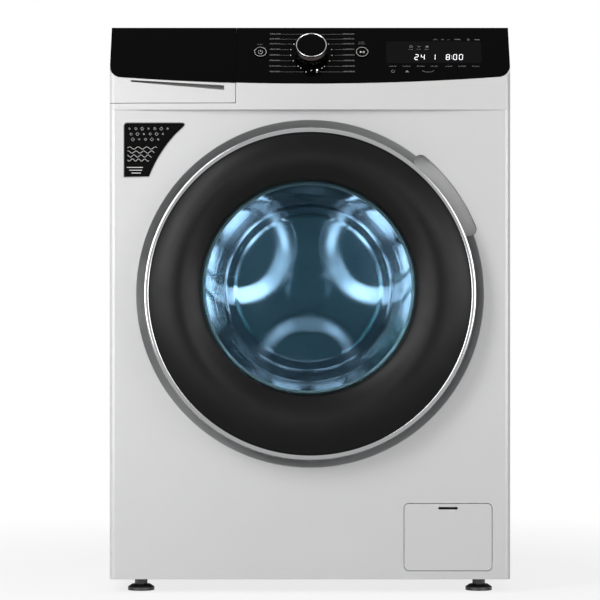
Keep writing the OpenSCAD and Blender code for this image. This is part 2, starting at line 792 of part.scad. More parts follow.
module inlet_hose() {
    color("dimgray") difference() {
        rod_y(12, housing_y1 + 3, y_rear - 52, valve_x, valve_z);
        rod_y(9 + run / 2, housing_y1 + 2, y_rear - 51, valve_x, valve_z);
    }
}

module fill_hose() {
    z0 = z_fill + 14;
    color("dimgray") translate([hose_x, hose_y, z0]) difference() {
        union() {
            cylinder(r = spigot_r + 3, h = z_housing - 3 - z0);
            for (z = [10 : 5 : z_housing - z0 - 12]) translate([0, 0, z]) cylinder(r = spigot_r + 5, h = 2.5);
        }
        translate([0, 0, -1]) cylinder(r = spigot_r + run, h = z_housing - z0 + 2);
    }
}

module drain_pump() {
    insert_r = filter_r - 5;
    y1 = pump_y + 90;
    color("gray") difference() {
        union() {
            rod_y(pump_r, pump_y, y1, filter_x, filter_z);
            rod_y(pump_r - 8, y1 - 1, y1 + 55, filter_x, filter_z);
            // inlet and outlet stubs
            translate([filter_x - pump_r - 18, pump_y + 44, filter_z]) rotate([0, 90, 0]) cylinder(r = 15, h = 30);
            translate([outlet_x, y1 - 16, filter_z]) cylinder(r = drain_r, h = pump_r + 14);
            box(filter_x - 24, filter_x + 24, pump_y + 15, pump_y + 75, z_base + sheet + wall, filter_z);
        }
        rod_y(insert_r + run, pump_y - 1, y1 - 8, filter_x, filter_z);
        translate([filter_x - pump_r - 20, pump_y + 44, filter_z]) rotate([0, 90, 0]) cylinder(r = 12, h = 30);
        translate([outlet_x, y1 - 16, filter_z]) cylinder(r = drain_r - 2, h = pump_r + 20);
    }
}

module sump_hose() {
    y = pump_y + 44;
    color("dimgray") hose([[drain_x, drain_y, z_sump - 2], [drain_x, drain_y, filter_z],
        [drain_x, y, filter_z], [filter_x - pump_r - 2, y, filter_z]], 19, 3.6);
}

module drain_hose() {
    y = pump_y + 74;
    y_rise = y_tub_end + 60;
    z = filter_z + pump_r + 3;
    color("gray") hose([[outlet_x, y, z], [outlet_x, y, z + 50], [outlet_x, y_rise, z + 50],
        [outlet_x, y_rise, outlet_z], [outlet_x, y_rear - 14, outlet_z]], drain_r + 3, 2.7);
}

module drain_outlet() {
    color("dimgray") difference() {
        union() {
            rod_y(drain_r, y_rear - 26, y_rear + rear_proud, outlet_x, outlet_z);
            rod_y(drain_r + 7, y_rear, y_rear + 2.5, outlet_x, outlet_z);
            rod_y(drain_r + 3, y_rear - sheet - 6, y_rear + 1, outlet_x, outlet_z);
        }
        rod_y(drain_r - 2.5, y_rear - 30, y_rear + rear_proud + 1, outlet_x, outlet_z);
    }
}

module cable_gland() {
    color("dimgray") difference() {
        union() {
            rod_y(8, y_rear - 14, y_rear + 9, gland_x, gland_z);
            rod_y(12, y_rear, y_rear + 3, gland_x, gland_z);
            rod_y(11, y_rear - sheet - 5, y_rear - sheet - 0.3, gland_x, gland_z);
        }
        rod_y(4, y_rear - 20, y_rear + 12, gland_x, gland_z);
    }
}

// ---- tub ----

module tub_shell(y0, y1) {
    turn_y(win_x, win_z) polygon([[tub_r - tub_t, y0], [tub_r, y0], [tub_r, y1], [tub_r - tub_t, y1]]);
}

module tub_front() {
    color("lightgray") difference() {
        union() {
            tub_shell(y_tub, y_split);
            turn_y(win_x, win_z) polygon([[neck_r, y_neck], [neck_r + tub_t, y_neck], [neck_r + tub_t, y_tub],
                [tub_r - 1, y_tub], [tub_r - 1, y_tub + tub_t], [neck_r, y_tub + tub_t]]);
            turn_y(win_x, win_z) translate([tub_r - 1, y_split - 6]) square([9, 6]);
            difference() {
                for (s = [-1, 1]) box(s * damper_x - 12, s * damper_x + 12, damper_y - 12, damper_y + 12,
                    z_damper_lug, z_damper_lug + 40);
                rod_y(tub_r - 1, y_tub, y_split, win_x, win_z);
            }
            // clips on the flange
            for (a = [15 : 30 : 345]) translate([win_x, 0, win_z]) rotate([0, -a, 0])
                translate([tub_r + 2, y_split - 10, -8]) cube([8, 10, 16]);
        }
    }
}

module tub_rear() {
    seat = bearing_r + pin_fit;
    color("lightgray") difference() {
        union() {
            tub_shell(y_split, y_tub_end);
            turn_y(win_x, win_z) translate([tub_r - 1, y_split]) square([9, 6]);
            turn_y(win_x, win_z) polygon([[seat - 6, y_tub_end - tub_t], [tub_r - 1, y_tub_end - tub_t],
                [tub_r - 1, y_tub_end], [bearing_r + 12, y_tub_end], [bearing_r + 8, hub_end], [seat - 6, hub_end]]);
            for (a = [0 : 30 : 330]) translate([win_x, 0, win_z]) rotate([0, -a, 0])
                translate([bearing_r + 6, y_tub_end - 1, -2]) cube([tub_r - bearing_r - 10, 13, 4]);
            // spring lugs with their bars
            for (s = [-1, 1]) {
                difference() {
                    for (k = [-1, 1]) box(s * spring_x - 9, s * spring_x + 9, tub_lug_y + k * 11 - 3,
                        tub_lug_y + k * 11 + 3, z_spring_low - 50, z_spring_low + 7);
                    rod_y(tub_r - 1, y_split, y_tub_end, win_x, win_z);
                }
                rod_y(3, tub_lug_y - 12, tub_lug_y + 12, s * spring_x, z_spring_low);
            }
            // sump
            difference() {
                box(sump_x - sump_w / 2, sump_x + sump_w / 2, y_sump, y_sump + sump_l, z_sump, win_z - tub_r + 30);
                rod_y(tub_r - 1, y_split, y_tub_end, win_x, win_z);
            }
            translate([drain_x, drain_y, z_sump - 16]) cylinder(r = 15, h = 18);
            translate([hose_x, hose_y, z_fill - 25]) cylinder(r = spigot_r, h = 25 + 24);
        }
        rod_y(seat, y_tub_end - tub_t - 1, y_tub_end - tub_t + bearing_l, win_x, win_z);
        rod_y(seat, hub_end - bearing_l, hub_end + 1, win_x, win_z);
        box(sump_x - sump_w / 2 + tub_t, sump_x + sump_w / 2 - tub_t, y_sump + tub_t,
            y_sump + sump_l - tub_t, z_sump + tub_t, win_z - tub_r + 50);
        translate([drain_x, drain_y, z_sump - 30]) cylinder(r = 12, h = 40);
        translate([hose_x, hose_y, z_fill - 60]) cylinder(r = spigot_r - 3, h = 100);
        for (s = [-1, 1]) rod_y(heater_r + 0.3, y_sump + sump_l - 10, y_sump + sump_l + 5,
            sump_x + s * heater_gap, z_heater);
        // keeps the stubs out of the inside of the tub
        intersection() {
            rod_y(tub_r - tub_t, y_split - 1, y_tub_end - tub_t, win_x, win_z);
            translate([hose_x, hose_y, z_fill]) cube(80, center = true);
        }
    }
}

module front_counterweight() {
    color("darkgray") difference() {
        rod_y(tub_r - 6, y_dish + flange + 2, y_tub - run / 4, win_x, win_z);
        rod_y(opening_r + 4, y_neck - 20, y_tub + 5, win_x, win_z);
        box(-cab_w, cab_w, y_neck - 20, y_tub + 5, win_z - 70, cab_h);
    }
}

module top_counterweight() {
    color("darkgray") difference() {
        box(-90, 140, y_split + 12, y_split + 125, win_z + tub_r - 45, win_z + tub_r + 50);
        rod_y(tub_r + run / 4, y_tub, y_tub_end, win_x, win_z);
    }
}

module heater() {
    y1 = y_sump + sump_l;
    color("silver") union() {
        pipe_run([[sump_x - heater_gap, y1 + 8, z_heater], [sump_x - heater_gap, y_sump + 16, z_heater],
            [sump_x + heater_gap, y_sump + 16, z_heater], [sump_x + heater_gap, y1 + 8, z_heater]], heater_r);
        box(sump_x - heater_gap - 12, sump_x + heater_gap + 12, y1, y1 + 3, z_heater - 8, z_heater + 8);
    }
}

module motor_body() {
    inner = motor_r - 12;
    color("slategray") difference() {
        union() {
            rod_y(motor_r, y_motor, y_motor + motor_l, motor_x, motor_z);
            difference() {
                for (y = [y_motor + 12, y_motor + motor_l - 22]) box(motor_x - 40, motor_x + 40, y, y + 10,
                    motor_z, win_z - 170);
                rod_y(tub_r + run / 2, y_tub, y_tub_end + 5, win_x, win_z);
            }
        }
        rod_y(inner, y_motor + 8, y_motor + motor_l - 8, motor_x, motor_z);
        rod_y(motor_shaft_r + pin_fit, y_motor - 1, y_motor + motor_l + 1, motor_x, motor_z);
        for (a = [0 : 45 : 315]) translate([motor_x, 0, motor_z]) rotate([0, -a, 0])
            translate([motor_r - 26, y_motor + motor_l - 9, -4]) cube([10, 20, 8]);
    }
}

module motor_rotor() {
    color("goldenrod") {
        rod_y(motor_r - 12 - 1, y_motor + 10, y_motor + motor_l - 10, motor_x, motor_z);
        rod_y(motor_shaft_r, y_motor + 2, y_pulley + belt_w + 2, motor_x, motor_z);
        rod_y(motor_pulley_r, y_pulley, y_pulley + belt_w, motor_x, motor_z);
    }
}

function arc(c, r, from, to, n) = [for (i = [0 : n])
    let (a = from + (to - from) * i / n) c + r * [cos(a), sin(a)]];

module drive_belt() {
    t = 3;
    gap = 0.3;
    away = [motor_x - win_x, motor_z - win_z];
    way = atan2(away.y, away.x);
    lean = acos((pulley_r - motor_pulley_r) / norm(away));
    // closed line round both pulleys
    module line(grow) polygon(concat(arc([0, 0], pulley_r + grow, way + lean, way - lean + 360, 72),
        arc(away, motor_pulley_r + grow, way - lean, way + lean, 16)));
    color("black") translate([win_x, 0, win_z]) extrude_y(y_pulley + 1, y_pulley + belt_w - 1) difference() {
        line(gap + t);
        line(gap);
    }
}

module coil(r, wire, turns, height) {
    steps = 10;
    sides = 6;
    n = turns * steps;
    slope = atan(height / turns / (2 * PI * r));
    points = [for (i = [0 : n], k = [0 : sides - 1])
        let (a = 360 * i / steps, b = 360 * k / sides, u = wire * cos(b), v = wire * sin(b))
        [(r + u) * cos(a) + v * sin(slope) * sin(a), (r + u) * sin(a) - v * sin(slope) * cos(a),
            height * i / n + v * cos(slope)]];
    faces = concat([[for (k = [sides - 1 : -1 : 0]) k]],
        [for (i = [0 : n - 1], k = [0 : sides - 1], half = [0, 1])
            let (a = i * sides + (k + 1) % sides, b = (i + 1) * sides + k)
            half == 0 ? [a, b, i * sides + k] : [a, (i + 1) * sides + (k + 1) % sides, b]],
        [[for (k = [0 : sides - 1]) n * sides + k]]);
    polyhedron(points = points, faces = faces, convexity = 8);
}

module suspension_springs() {
    ring = 5.3;
    w = spring_wire;
    z0 = z_spring_low + 12;
    z1 = z_rail - 6;
    color("silver") for (s = [-1, 1]) translate([s * spring_x, tub_lug_y, 0]) {
        translate([0, 0, z0]) coil(spring_r, w, spring_turns, z1 - z0);
        // end plugs with their eyes
        for (m = [0, 1]) translate([0, 0, m > 0 ? z_rail + 6 - 0.2 : z_spring_low + 0.2]) mirror([0, 0, m]) {
            difference() {
                union() {
                    rotate([90, 0, 0]) cylinder(r = ring + w, h = 2 * w, center = true, $fn = 32);
                    translate([0, 0, ring + w * 0.5]) cylinder(r = spring_r - w - 0.5, h = 16, $fn = 32);
                }
                rotate([90, 0, 0]) cylinder(r = ring - w, h = 20, center = true, $fn = 32);
            }
        }
    }
}

module damper_rods() {
    color("silver") for (s = [-1, 1]) translate([s * damper_x, damper_y, 0]) {
        translate([0, 0, z_base + 90]) cylinder(r = rod_r, h = z_damper_lug - z_base - 90);
        translate([0, 0, z_base + 80]) cylinder(r = damper_r - 3 - run, h = 12);
    }
}

module damper_cylinders() {
    z0 = z_base + sheet + 10;
    h = 160;
    color("dimgray") for (s = [-1, 1]) translate([s * damper_x, damper_y, z0]) difference() {
        cylinder(r = damper_r, h = h);
        translate([0, 0, 6]) cylinder(r = damper_r - 3, h = h - 16);
        cylinder(r = rod_r + run, h = h + 1);
    }
}

module drum_bearings() {
    color("silver") for (y = [y_tub_end - tub_t, hub_end - bearing_l]) difference() {
        rod_y(bearing_r, y, y + bearing_l, win_x, win_z);
        rod_y(shaft_r + pin_fit, y - 1, y + bearing_l + 1, win_x, win_z);
        turn_y(win_x, win_z) translate([bearing_r - 9, y - 1]) square([4, 2]);
        turn_y(win_x, win_z) translate([bearing_r - 9, y + bearing_l - 1]) square([4, 2]);
    }
}

// ---- drum ----

module drum_shell() {
    mouth = window_r + 10;
    color("silver") turn_y(win_x, win_z) polygon([[mouth, y_drum - 2], [mouth + 4, y_drum - 4],
        [mouth + 9, y_drum], [drum_r - 8, y_drum], [drum_r, y_drum + 8], [drum_r, y_drum_end],
        [drum_r - drum_t, y_drum_end], [drum_r - drum_t, y_drum + 8.6], [drum_r - 8.6, y_drum + drum_t],
        [mouth + 8, y_drum + drum_t], [mouth + 4, y_drum - 2], [mouth + 1, y_drum]]);
}

module drum_back() {
    r = drum_r - drum_t;
    y = y_drum_end;
    color("silver") turn_y(win_x, win_z) polygon([[0, y - 8], [40, y - 8], [60, y - 1.5], [90, y - 1.5],
        [110, y - 8], [150, y - 8], [168, y - 1.5], [r, y - 1.5], [r, y], [167, y],
        [149, y - 6.5], [111, y - 6.5], [91, y], [59, y], [39, y - 6.5], [0, y - 6.5]]);
}

module drum_lifters() {
    w = 42;
    base = drum_r - drum_t - 1;
    color("silver") intersection() {
        for (a = [30, 150, 270]) translate([win_x, 0, win_z]) rotate([0, -a, 0])
            extrude_y(y_drum + 14, y_drum_end - 10) difference() {
                polygon([[base, -w], [base - lifter_h * 0.35, -w * 0.72], [base - lifter_h * 0.85, -w * 0.4],
                    [base - lifter_h, 0], [base - lifter_h * 0.85, w * 0.4],
                    [base - lifter_h * 0.35, w * 0.72], [base, w]]);
                polygon([[base + 1, -w + 5], [base - lifter_h * 0.3, -w * 0.72 + 4],
                    [base - lifter_h * 0.78, -w * 0.4 + 3], [base - lifter_h + 3, 0],
                    [base - lifter_h * 0.78, w * 0.4 - 3], [base - lifter_h * 0.3, w * 0.72 - 4],
                    [base + 1, w - 5]]);
            }
        rod_y(drum_r - drum_t - 0.1, y_drum, y_drum_end, win_x, win_z);
    }
}

module drum_spider() {
    y = y_drum_end;
    tip = drum_r - drum_t - 6;
    color("silver") union() {
        rod_y(shaft_r + 22, y, y + 16, win_x, win_z);
        rod_y(shaft_r, y, y_pulley + belt_w + 1, win_x, win_z);
        for (a = [90 : 120 : 330]) translate([win_x, 0, win_z]) rotate([0, -a, 0])
            extrude_y(y, y + 13) polygon([[0, -24], [tip, -14], [tip, 14], [0, 24]]);
    }
}

module drum_pulley() {
    y = y_pulley;
    color("silver") difference() {
        union() {
            turn_y(win_x, win_z) polygon([[pulley_r - 12, y], [pulley_r, y], [pulley_r, y + belt_w],
                [pulley_r - 12, y + belt_w], [pulley_r - 12, y + belt_w - 3], [pulley_r - 3, y + belt_w - 3],
                [pulley_r - 3, y + 3], [pulley_r - 12, y + 3]]);
            rod_y(shaft_r + 12, y, y + belt_w, win_x, win_z);
            for (a = [0 : 60 : 300]) translate([win_x, 0, win_z]) rotate([0, -a, 0])
                extrude_y(y + 3, y + belt_w - 3) polygon([[shaft_r + 8, -9], [pulley_r - 2, -6],
                    [pulley_r - 2, 6], [shaft_r + 8, 9]]);
            rod_y(shaft_r + 4, y + belt_w + 1, y + belt_w + 3, win_x, win_z);
            translate([win_x, y + belt_w + 2, win_z]) rotate([-90, 0, 0]) cylinder(r = 9, h = 8, $fn = 6);
            rod_y(shaft_r + 4, y + belt_w - 1, y + belt_w + 2, win_x, win_z);
        }
        rod_y(shaft_r + 0.02, y - 1, y + belt_w + 1, win_x, win_z);
    }
}

// ---- door ----

module door_ring() {
    r = ring_r;
    w = ring_w;
    yf = y_front - 30;
    color("silver") turn_y(0, ring_z) polygon([[r - w, y_ring_back], [r - w, yf + 2], [r - w + 1.2, yf + 0.5],
        [r - w + 2.6, yf], [r - 2.6, yf], [r - 1, yf + 0.8], [r, yf + 3], [r, y_ring_back]]);
}

// puck under the cover's crowned surface, lowered by d
module cover_body(d) {
    r0 = cover_mid - 60;
    r1 = ring_r - ring_w;
    turn_y(0, ring_z) polygon(concat([[0, y_liner - liner_t], [0, cover_y(r0) + d]],
        [for (i = [0 : 10]) let (r = r0 + (r1 - r0) * i / 10) [min(r, r1 - d), cover_y(r) + d]],
        [[r1 - d, y_ring_back], [skirt_r - d, y_ring_back + (d > 0 ? d : 0)], [skirt_r - d, y_liner - liner_t]]));
}

module door_cover() {
    lip = 3;
    y_seat = y_front - 2;
    color("black") difference() {
        union() {
            difference() {
                cover_body(0);
                translate([0, 0.01, 0]) cover_body(cover_t);
            }
            intersection() {
                cover_body(0);
                rod_y(window_r + lip, y_door - 5, y_seat, win_x, win_z);
            }
        }
        rod_y(window_r, y_door - 20, y_dish, win_x, win_z);
        rod_y(window_r + lip - 0.01, y_seat, y_dish, win_x, win_z);
        // room for the hinge's ears
        box(-ring_r - 5, hinge_x + 33, y_ring_back - 0.5, y_dish, ring_z - hinge_h - 2, ring_z + hinge_h + 2);
    }
}

module door_glass() {
    w = window_r;
    g = glass_t;
    y0 = y_front - 2;
    color([0.75, 0.9, 0.92, 0.4]) turn_y(win_x, win_z) polygon([[w, y0], [w + 14, y0], [w + 14, y0 + 5],
        [w + 4, y0 + 5], [w - 1, y_dish + 2], [w - 11, y_dish + 42], [w - 26, y_front + bowl_d - 20],
        [w - 32, y_front + bowl_d - 9], [w - 50, y_front + bowl_d - 3], [w - 80, y_front + bowl_d],
        [0, y_front + bowl_d], [0, y_front + bowl_d - g], [w - 80, y_front + bowl_d - g],
        [w - 52, y_front + bowl_d - g - 3], [w - 35.5, y_front + bowl_d - g - 8],
        [w - 26 - g, y_front + bowl_d - 21], [w - 11 - g, y_dish + 41], [w - 1 - g, y_dish + 1]]);
}

module door_liner() {
    y0 = y_liner - liner_t;
    ear = 4;
    color("dimgray") difference() {
        union() {
            turn_y(0, ring_z) polygon([[100, y0], [skirt_r, y0], [skirt_r, y_liner - 1], [skirt_r - 1, y_liner],
                [100, y_liner]]);
            difference() {
                rod_y(window_r + 14, y_front + 3, y_liner, win_x, win_z);
                rod_y(window_r + 5, y_front, y_liner + 1, win_x, win_z);
            }
            for (s = [-1, 1]) translate([latch_x, 0, ring_z + s * 12.5])
                box(-6, 6, latch_y - 6, y0 + eps, -ear / 2, ear / 2);
        }
        rod_y(window_r + 4.5, y_front - 20, y_dish + 10, win_x, win_z);
        box(latch_x - 9, latch_x + 10, y0 - 1, y_liner + 1, ring_z - 9.5, ring_z + 9.5);
        translate([latch_x, latch_y, ring_z - 20]) cylinder(r = 2 + pin_fit, h = 40, $fn = 32);
        box(-ring_r - 5, hinge_x + 33, y_ring_back, y_dish, ring_z - hinge_h - 2, ring_z + hinge_h + 2);
    }
}

module door_hinge() {
    h = hinge_h - 10;
    y0 = y_liner - liner_t;
    color("silver") difference() {
        union() {
            translate([hinge_x, hinge_y, ring_z - h]) cylinder(r = pin_r + 3, h = 2 * h, $fn = 48);
            box(hinge_x, hinge_x + 37, hinge_y - 1.5, hinge_y + 1.5, ring_z - h, ring_z + h);
            box(hinge_x + 34, hinge_x + 37, hinge_y - 1.5, y0, ring_z - h, ring_z + h);
            box(hinge_x + 34, hinge_x + 62, y0 - 3, y0, ring_z - h, ring_z + h);
            for (s = [-1, 1]) translate([hinge_x + 50, y0 - 3, ring_z + s * (h - 10)]) rotate([90, 0, 0])
                screw_head(4, 2.4);
        }
        translate([hinge_x, hinge_y, 0]) cylinder(r = pin_r + pin_fit, h = cab_h, $fn = 48);
        // keeps the arm clear of the glass
        rod_y(window_r + 16, y_door, y_dish, win_x, win_z);
    }
}

module hinge_bracket() {
    top = hinge_h - 1;
    plate = 2.7;
    color("silver") union() {
        box(hinge_x + 6, hinge_x + 30, y_dish - plate, y_dish, ring_z - hinge_h - 8, ring_z + hinge_h + 8);
        for (s = [-1, 1]) translate([0, 0, ring_z + s * (top - ear_t / 2) - ear_t / 2]) linear_extrude(ear_t) {
            polygon([[hinge_x - 3, hinge_y + 4], [hinge_x + 3.5, hinge_y - 3.5], [hinge_x + 29, y_dish - plate - 3],
                [hinge_x + 29, y_dish - 1], [hinge_x + 12, y_dish - 1]]);
            translate([hinge_x, hinge_y]) circle(r = pin_r + 3, $fn = 48);
        }
        translate([hinge_x, hinge_y, ring_z - top]) cylinder(r = pin_r, h = 2 * top, $fn = 48);
        for (s = [-1, 1]) translate([hinge_x + 22, y_dish - plate, ring_z + s * (hinge_h + 3.5)])
            rotate([90, 0, 0]) screw_head(3.5, 1.8);
    }
}

module door_latch() {
    h = 8;
    color("white") {
        translate([latch_x, latch_y, ring_z - 14]) cylinder(r = 2, h = 28, $fn = 32);
        extrude_z(ring_z - h, ring_z + h) polygon([[latch_x - 5, latch_y - 5], [latch_x + 3, latch_y - 5],
            [latch_x + 3, latch_y + 31], [latch_x + 6, latch_y + 33], [latch_x + 6, latch_y + 37],
            [latch_x + 1, latch_y + 42], [latch_x - 3, latch_y + 42], [latch_x - 5, latch_y + 36]]);
    }
}

module extrude_z(z0, z1) {
    translate([0, 0, z0]) linear_extrude(z1 - z0) children();
}

module door_lock() {
    y0 = y_dish + sheet + 0.2;
    color("white") difference() {
        box(latch_x - 11.5, latch_x + 30, y0, y0 + 30, ring_z - 32, ring_z + 32);
        box(latch_x - 10, latch_x + 13, y0 - 1, y0 + 27, ring_z - 12, ring_z + 12);
    }
}

module door_seal() {
    lip = window_r + 0.8;
    edge = opening_r - 0.3;
    y0 = y_dish + 3;
    cuff = neck_r + tub_t + 0.3;
    color("gray") turn_y(win_x, win_z) polygon([[lip, y0], [edge, y0], [edge, y0 + 13],
        [cuff + 4, y0 + 22], [cuff + 4, y_tub - 3], [cuff, y_tub - 3], [cuff, y0 + 18], [edge - 3.2, y0 + 11],
        [edge - 3.2, y0 + 3.2], [lip + 3.4, y0 + 3.2], [lip + 3.4, y0 + 14], [lip, y0 + 14]]);
}

// ---- service parts ----

module service_hatch() {
    color("whitesmoke") difference() {
        union() {
            extrude_y(y_front, y_front + hatch_t) hatch_outline(0);
            translate([hatch_cx - hatch_w / 2 - seam - 4, hatch_pin_y, hatch_pin_z]) rotate([0, 90, 0])
                cylinder(r = hatch_pin_r, h = hatch_w + 2 * seam + 8, $fn = 32);
        }
        translate([hatch_cx, 0, hatch_low + hatch_h - 8.6]) extrude_y(y_front - 1, y_front + 5)
            translate([-14.5, 0]) round_rect(29, 3.6, 1.7);
    }
}

module pump_filter() {
    insert_r = filter_r - 5;
    color("gainsboro") difference() {
        union() {
            rod_y(filter_r, pump_y - 8, pump_y - run, filter_x, filter_z);
            rod_y(insert_r, pump_y - 1, pump_y + 56, filter_x, filter_z);
            box(filter_x - filter_r + 4, filter_x + filter_r - 4, pump_y - 20, pump_y - 7, filter_z - 4, filter_z + 4);
        }
        rod_y(insert_r - 3, pump_y + 4, pump_y + 60, filter_x, filter_z);
        for (a = [0, 60, 120]) translate([filter_x, 0, filter_z]) rotate([0, -a, 0])
            translate([-insert_r - 5, pump_y + 14, -5]) cube([2 * insert_r + 10, 32, 10]);
    }
}

module foot(x, y) {
    color("black") translate([x, y, 0]) union() {
        cylinder(r = foot_pad_r, h = 5);
        translate([0, 0, 5]) rotate_extrude() polygon([[0, 0], [foot_pad_r, 0], [foot_pad_r - 6, 4], [0, 4]]);
        translate([0, 0, 8]) cylinder(r = foot_screw_r * 1.9, h = foot_h - 8 - run, $fn = 6);
        cylinder(r = foot_screw_r, h = foot_h + base_h + 14);
    }
}

module foot_front_left() { foot(-foot_x, foot_y[0]); }

module foot_front_right() { foot(foot_x, foot_y[0]); }

module foot_rear_left() { foot(-foot_x, foot_y[1]); }

module foot_rear_right() { foot(foot_x, foot_y[1]); }

side_panel_left();
side_panel_right();
rear_panel();
rear_cover();
front_panel();
base_frame();
top_plate();
rear_rail();
control_panel();
control_fascia();
control_board();
dispenser_housing();
inlet_valve();
inlet_hose();
fill_hose();
door_seal();
hinge_bracket();
door_lock();
drain_pump();
sump_hose();
drain_hose();
drain_outlet();
cable_gland();
cabinet_screws();
damper_cylinders();
tub_front();
tub_rear();
front_counterweight();
top_counterweight();
heater();
motor_body();
suspension_springs();
damper_rods();
drum_bearings();
drive_belt();
drum_shell();
drum_back();
drum_lifters();
drum_spider();
drum_pulley();
motor_rotor();
door_ring();
door_cover();
door_glass();
door_liner();
door_hinge();
door_latch();
programme_knob();
power_button();
start_button();
drawer_front();
detergent_tray();
softener_cap();
drawer_release();
service_hatch();
pump_filter();
foot_front_left();
foot_front_right();
foot_rear_left();
foot_rear_right();
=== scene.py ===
import json
import math

import bmesh
import bpy
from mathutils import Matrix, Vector


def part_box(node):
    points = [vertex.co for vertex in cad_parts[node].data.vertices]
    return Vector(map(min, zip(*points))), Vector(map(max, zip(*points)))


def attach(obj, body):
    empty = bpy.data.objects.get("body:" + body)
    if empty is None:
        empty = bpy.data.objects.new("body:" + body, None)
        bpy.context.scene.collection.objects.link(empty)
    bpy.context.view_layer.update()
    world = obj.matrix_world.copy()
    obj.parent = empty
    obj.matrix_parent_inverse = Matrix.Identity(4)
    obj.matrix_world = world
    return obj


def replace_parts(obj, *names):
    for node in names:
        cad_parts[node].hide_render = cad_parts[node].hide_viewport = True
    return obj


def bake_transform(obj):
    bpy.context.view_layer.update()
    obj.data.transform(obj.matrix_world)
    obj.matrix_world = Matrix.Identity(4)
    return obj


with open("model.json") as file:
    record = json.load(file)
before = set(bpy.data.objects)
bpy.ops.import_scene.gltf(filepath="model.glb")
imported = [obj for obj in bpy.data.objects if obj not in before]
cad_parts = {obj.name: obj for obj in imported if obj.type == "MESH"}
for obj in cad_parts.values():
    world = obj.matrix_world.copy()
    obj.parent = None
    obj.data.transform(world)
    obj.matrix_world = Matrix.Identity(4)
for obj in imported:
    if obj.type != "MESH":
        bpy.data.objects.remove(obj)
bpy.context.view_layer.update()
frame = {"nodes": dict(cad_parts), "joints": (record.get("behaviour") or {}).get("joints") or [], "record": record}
nodes = frame["nodes"]
joints = {joint["name"]: joint for joint in frame["joints"]}
mm = 0.001
collection = bpy.context.scene.collection

# places that several pieces share, all read from the frame
drumAxis = Vector(joints["drum_spin"]["pos_m"])
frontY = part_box("front_panel")[0].y
ringLow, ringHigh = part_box("door_ring")
ringAxis = (ringLow + ringHigh) / 2
ringRadius = (ringHigh.x - ringLow.x) / 2


# helpers for shapes

def turned(radius, angle, y, axis):
    return Vector((axis.x + radius * math.cos(angle), y, axis.z + radius * math.sin(angle)))


def clamped(share):
    return min(max(share, 0), 1)


def eased(share):
    # 0 to 1 with flat ends
    t = clamped(share)
    return t * t * (3 - 2 * t)


def cornersFrom(radius, y, offsets):
    # a dictionary's corners (out, back, fillet), in mm from one anchor, as metres
    return [(radius + out * mm, y + back * mm, fillet * mm) for out, back, fillet in offsets]


def rounded(corners, steps=5):
    # closed line through corners given as (a, b, fillet radius)
    line = []
    count = len(corners)
    for i, (a, b, radius) in enumerate(corners):
        here = Vector((a, b))
        back = Vector(corners[i - 1][:2]) - here
        ahead = Vector(corners[(i + 1) % count][:2]) - here
        turn = back.angle(ahead)
        if radius <= 0 or turn > math.radians(178):  # nearly straight on
            line.append(here)
            continue
        cut = min(radius / math.tan(turn / 2), back.length * 0.48, ahead.length * 0.48)
        start = here + back.normalized() * cut
        end = here + ahead.normalized() * cut
        for k in range(steps + 1):
            t = k / steps
            line.append(start.lerp(here, t).lerp(here.lerp(end, t), t))
    return line


def smoothLine(points, perSpan):
    # Catmull-Rom curve through given points
    line = []
    for i in range(len(points) - 1):
        p0 = points[max(i - 1, 0)]
        p1, p2 = points[i], points[i + 1]
        p3 = points[min(i + 2, len(points) - 1)]
        for k in range(perSpan):
            t = k / perSpan
            line.append(0.5 * ((2 * p1) + (p2 - p0) * t + (2 * p0 - 5 * p1 + 4 * p2 - p3) * t * t
                               + (3 * p1 - p0 - 3 * p2 + p3) * t ** 3))
    line.append(points[-1])
    return line


def newMesh(name, points, faces, smoothAngle=38):
    mesh = bpy.data.meshes.new(name)
    mesh.from_pydata([tuple(p) for p in points], [], faces)
    bm = bmesh.new()
    bm.from_mesh(mesh)
    bmesh.ops.remove_doubles(bm, verts=bm.verts, dist=1e-6)
    bmesh.ops.recalc_face_normals(bm, faces=bm.faces)
    bm.to_mesh(mesh)
    bm.free()
    mesh.polygons.foreach_set("use_smooth", [True] * len(mesh.polygons))
    mesh.set_sharp_from_angle(angle=math.radians(smoothAngle))
    return mesh


def newPiece(name, mesh, material, body):
    # a body of None is for soft pieces, which are left without a body
    piece = bpy.data.objects.new(name, mesh)
    collection.objects.link(piece)
    mesh.materials.append(material)
    if body:
        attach(piece, body)
    return piece


def sectionFaces(steps, count):
    # quads of a closed section that is carried once round
    faces = []
    for k in range(steps):
        a, b = k * count, (k + 1) % steps * count
        faces += [(a + i, a + (i + 1) % count, b + (i + 1) % count, b + i) for i in range(count)]
    return faces


def ringFaces(rings, sides):
    # quads between neighbouring rings of points
    faces = []
    for i in range(rings - 1):
        for k in range(sides):
            m = (k + 1) % sides
            faces.append((i * sides + k, i * sides + m, (i + 1) * sides + m, (i + 1) * sides + k))
    return faces


def latheMesh(name, profile, axis, steps=160, smoothAngle=38):
    # profile is a closed list of (radius, y), turned about a line along Y through axis
    points = []
    for k in range(steps):
        angle = 2 * math.pi * k / steps
        points += [turned(radius, angle, y, axis) for radius, y in profile]
    return newMesh(name, points, sectionFaces(steps, len(profile)), smoothAngle)


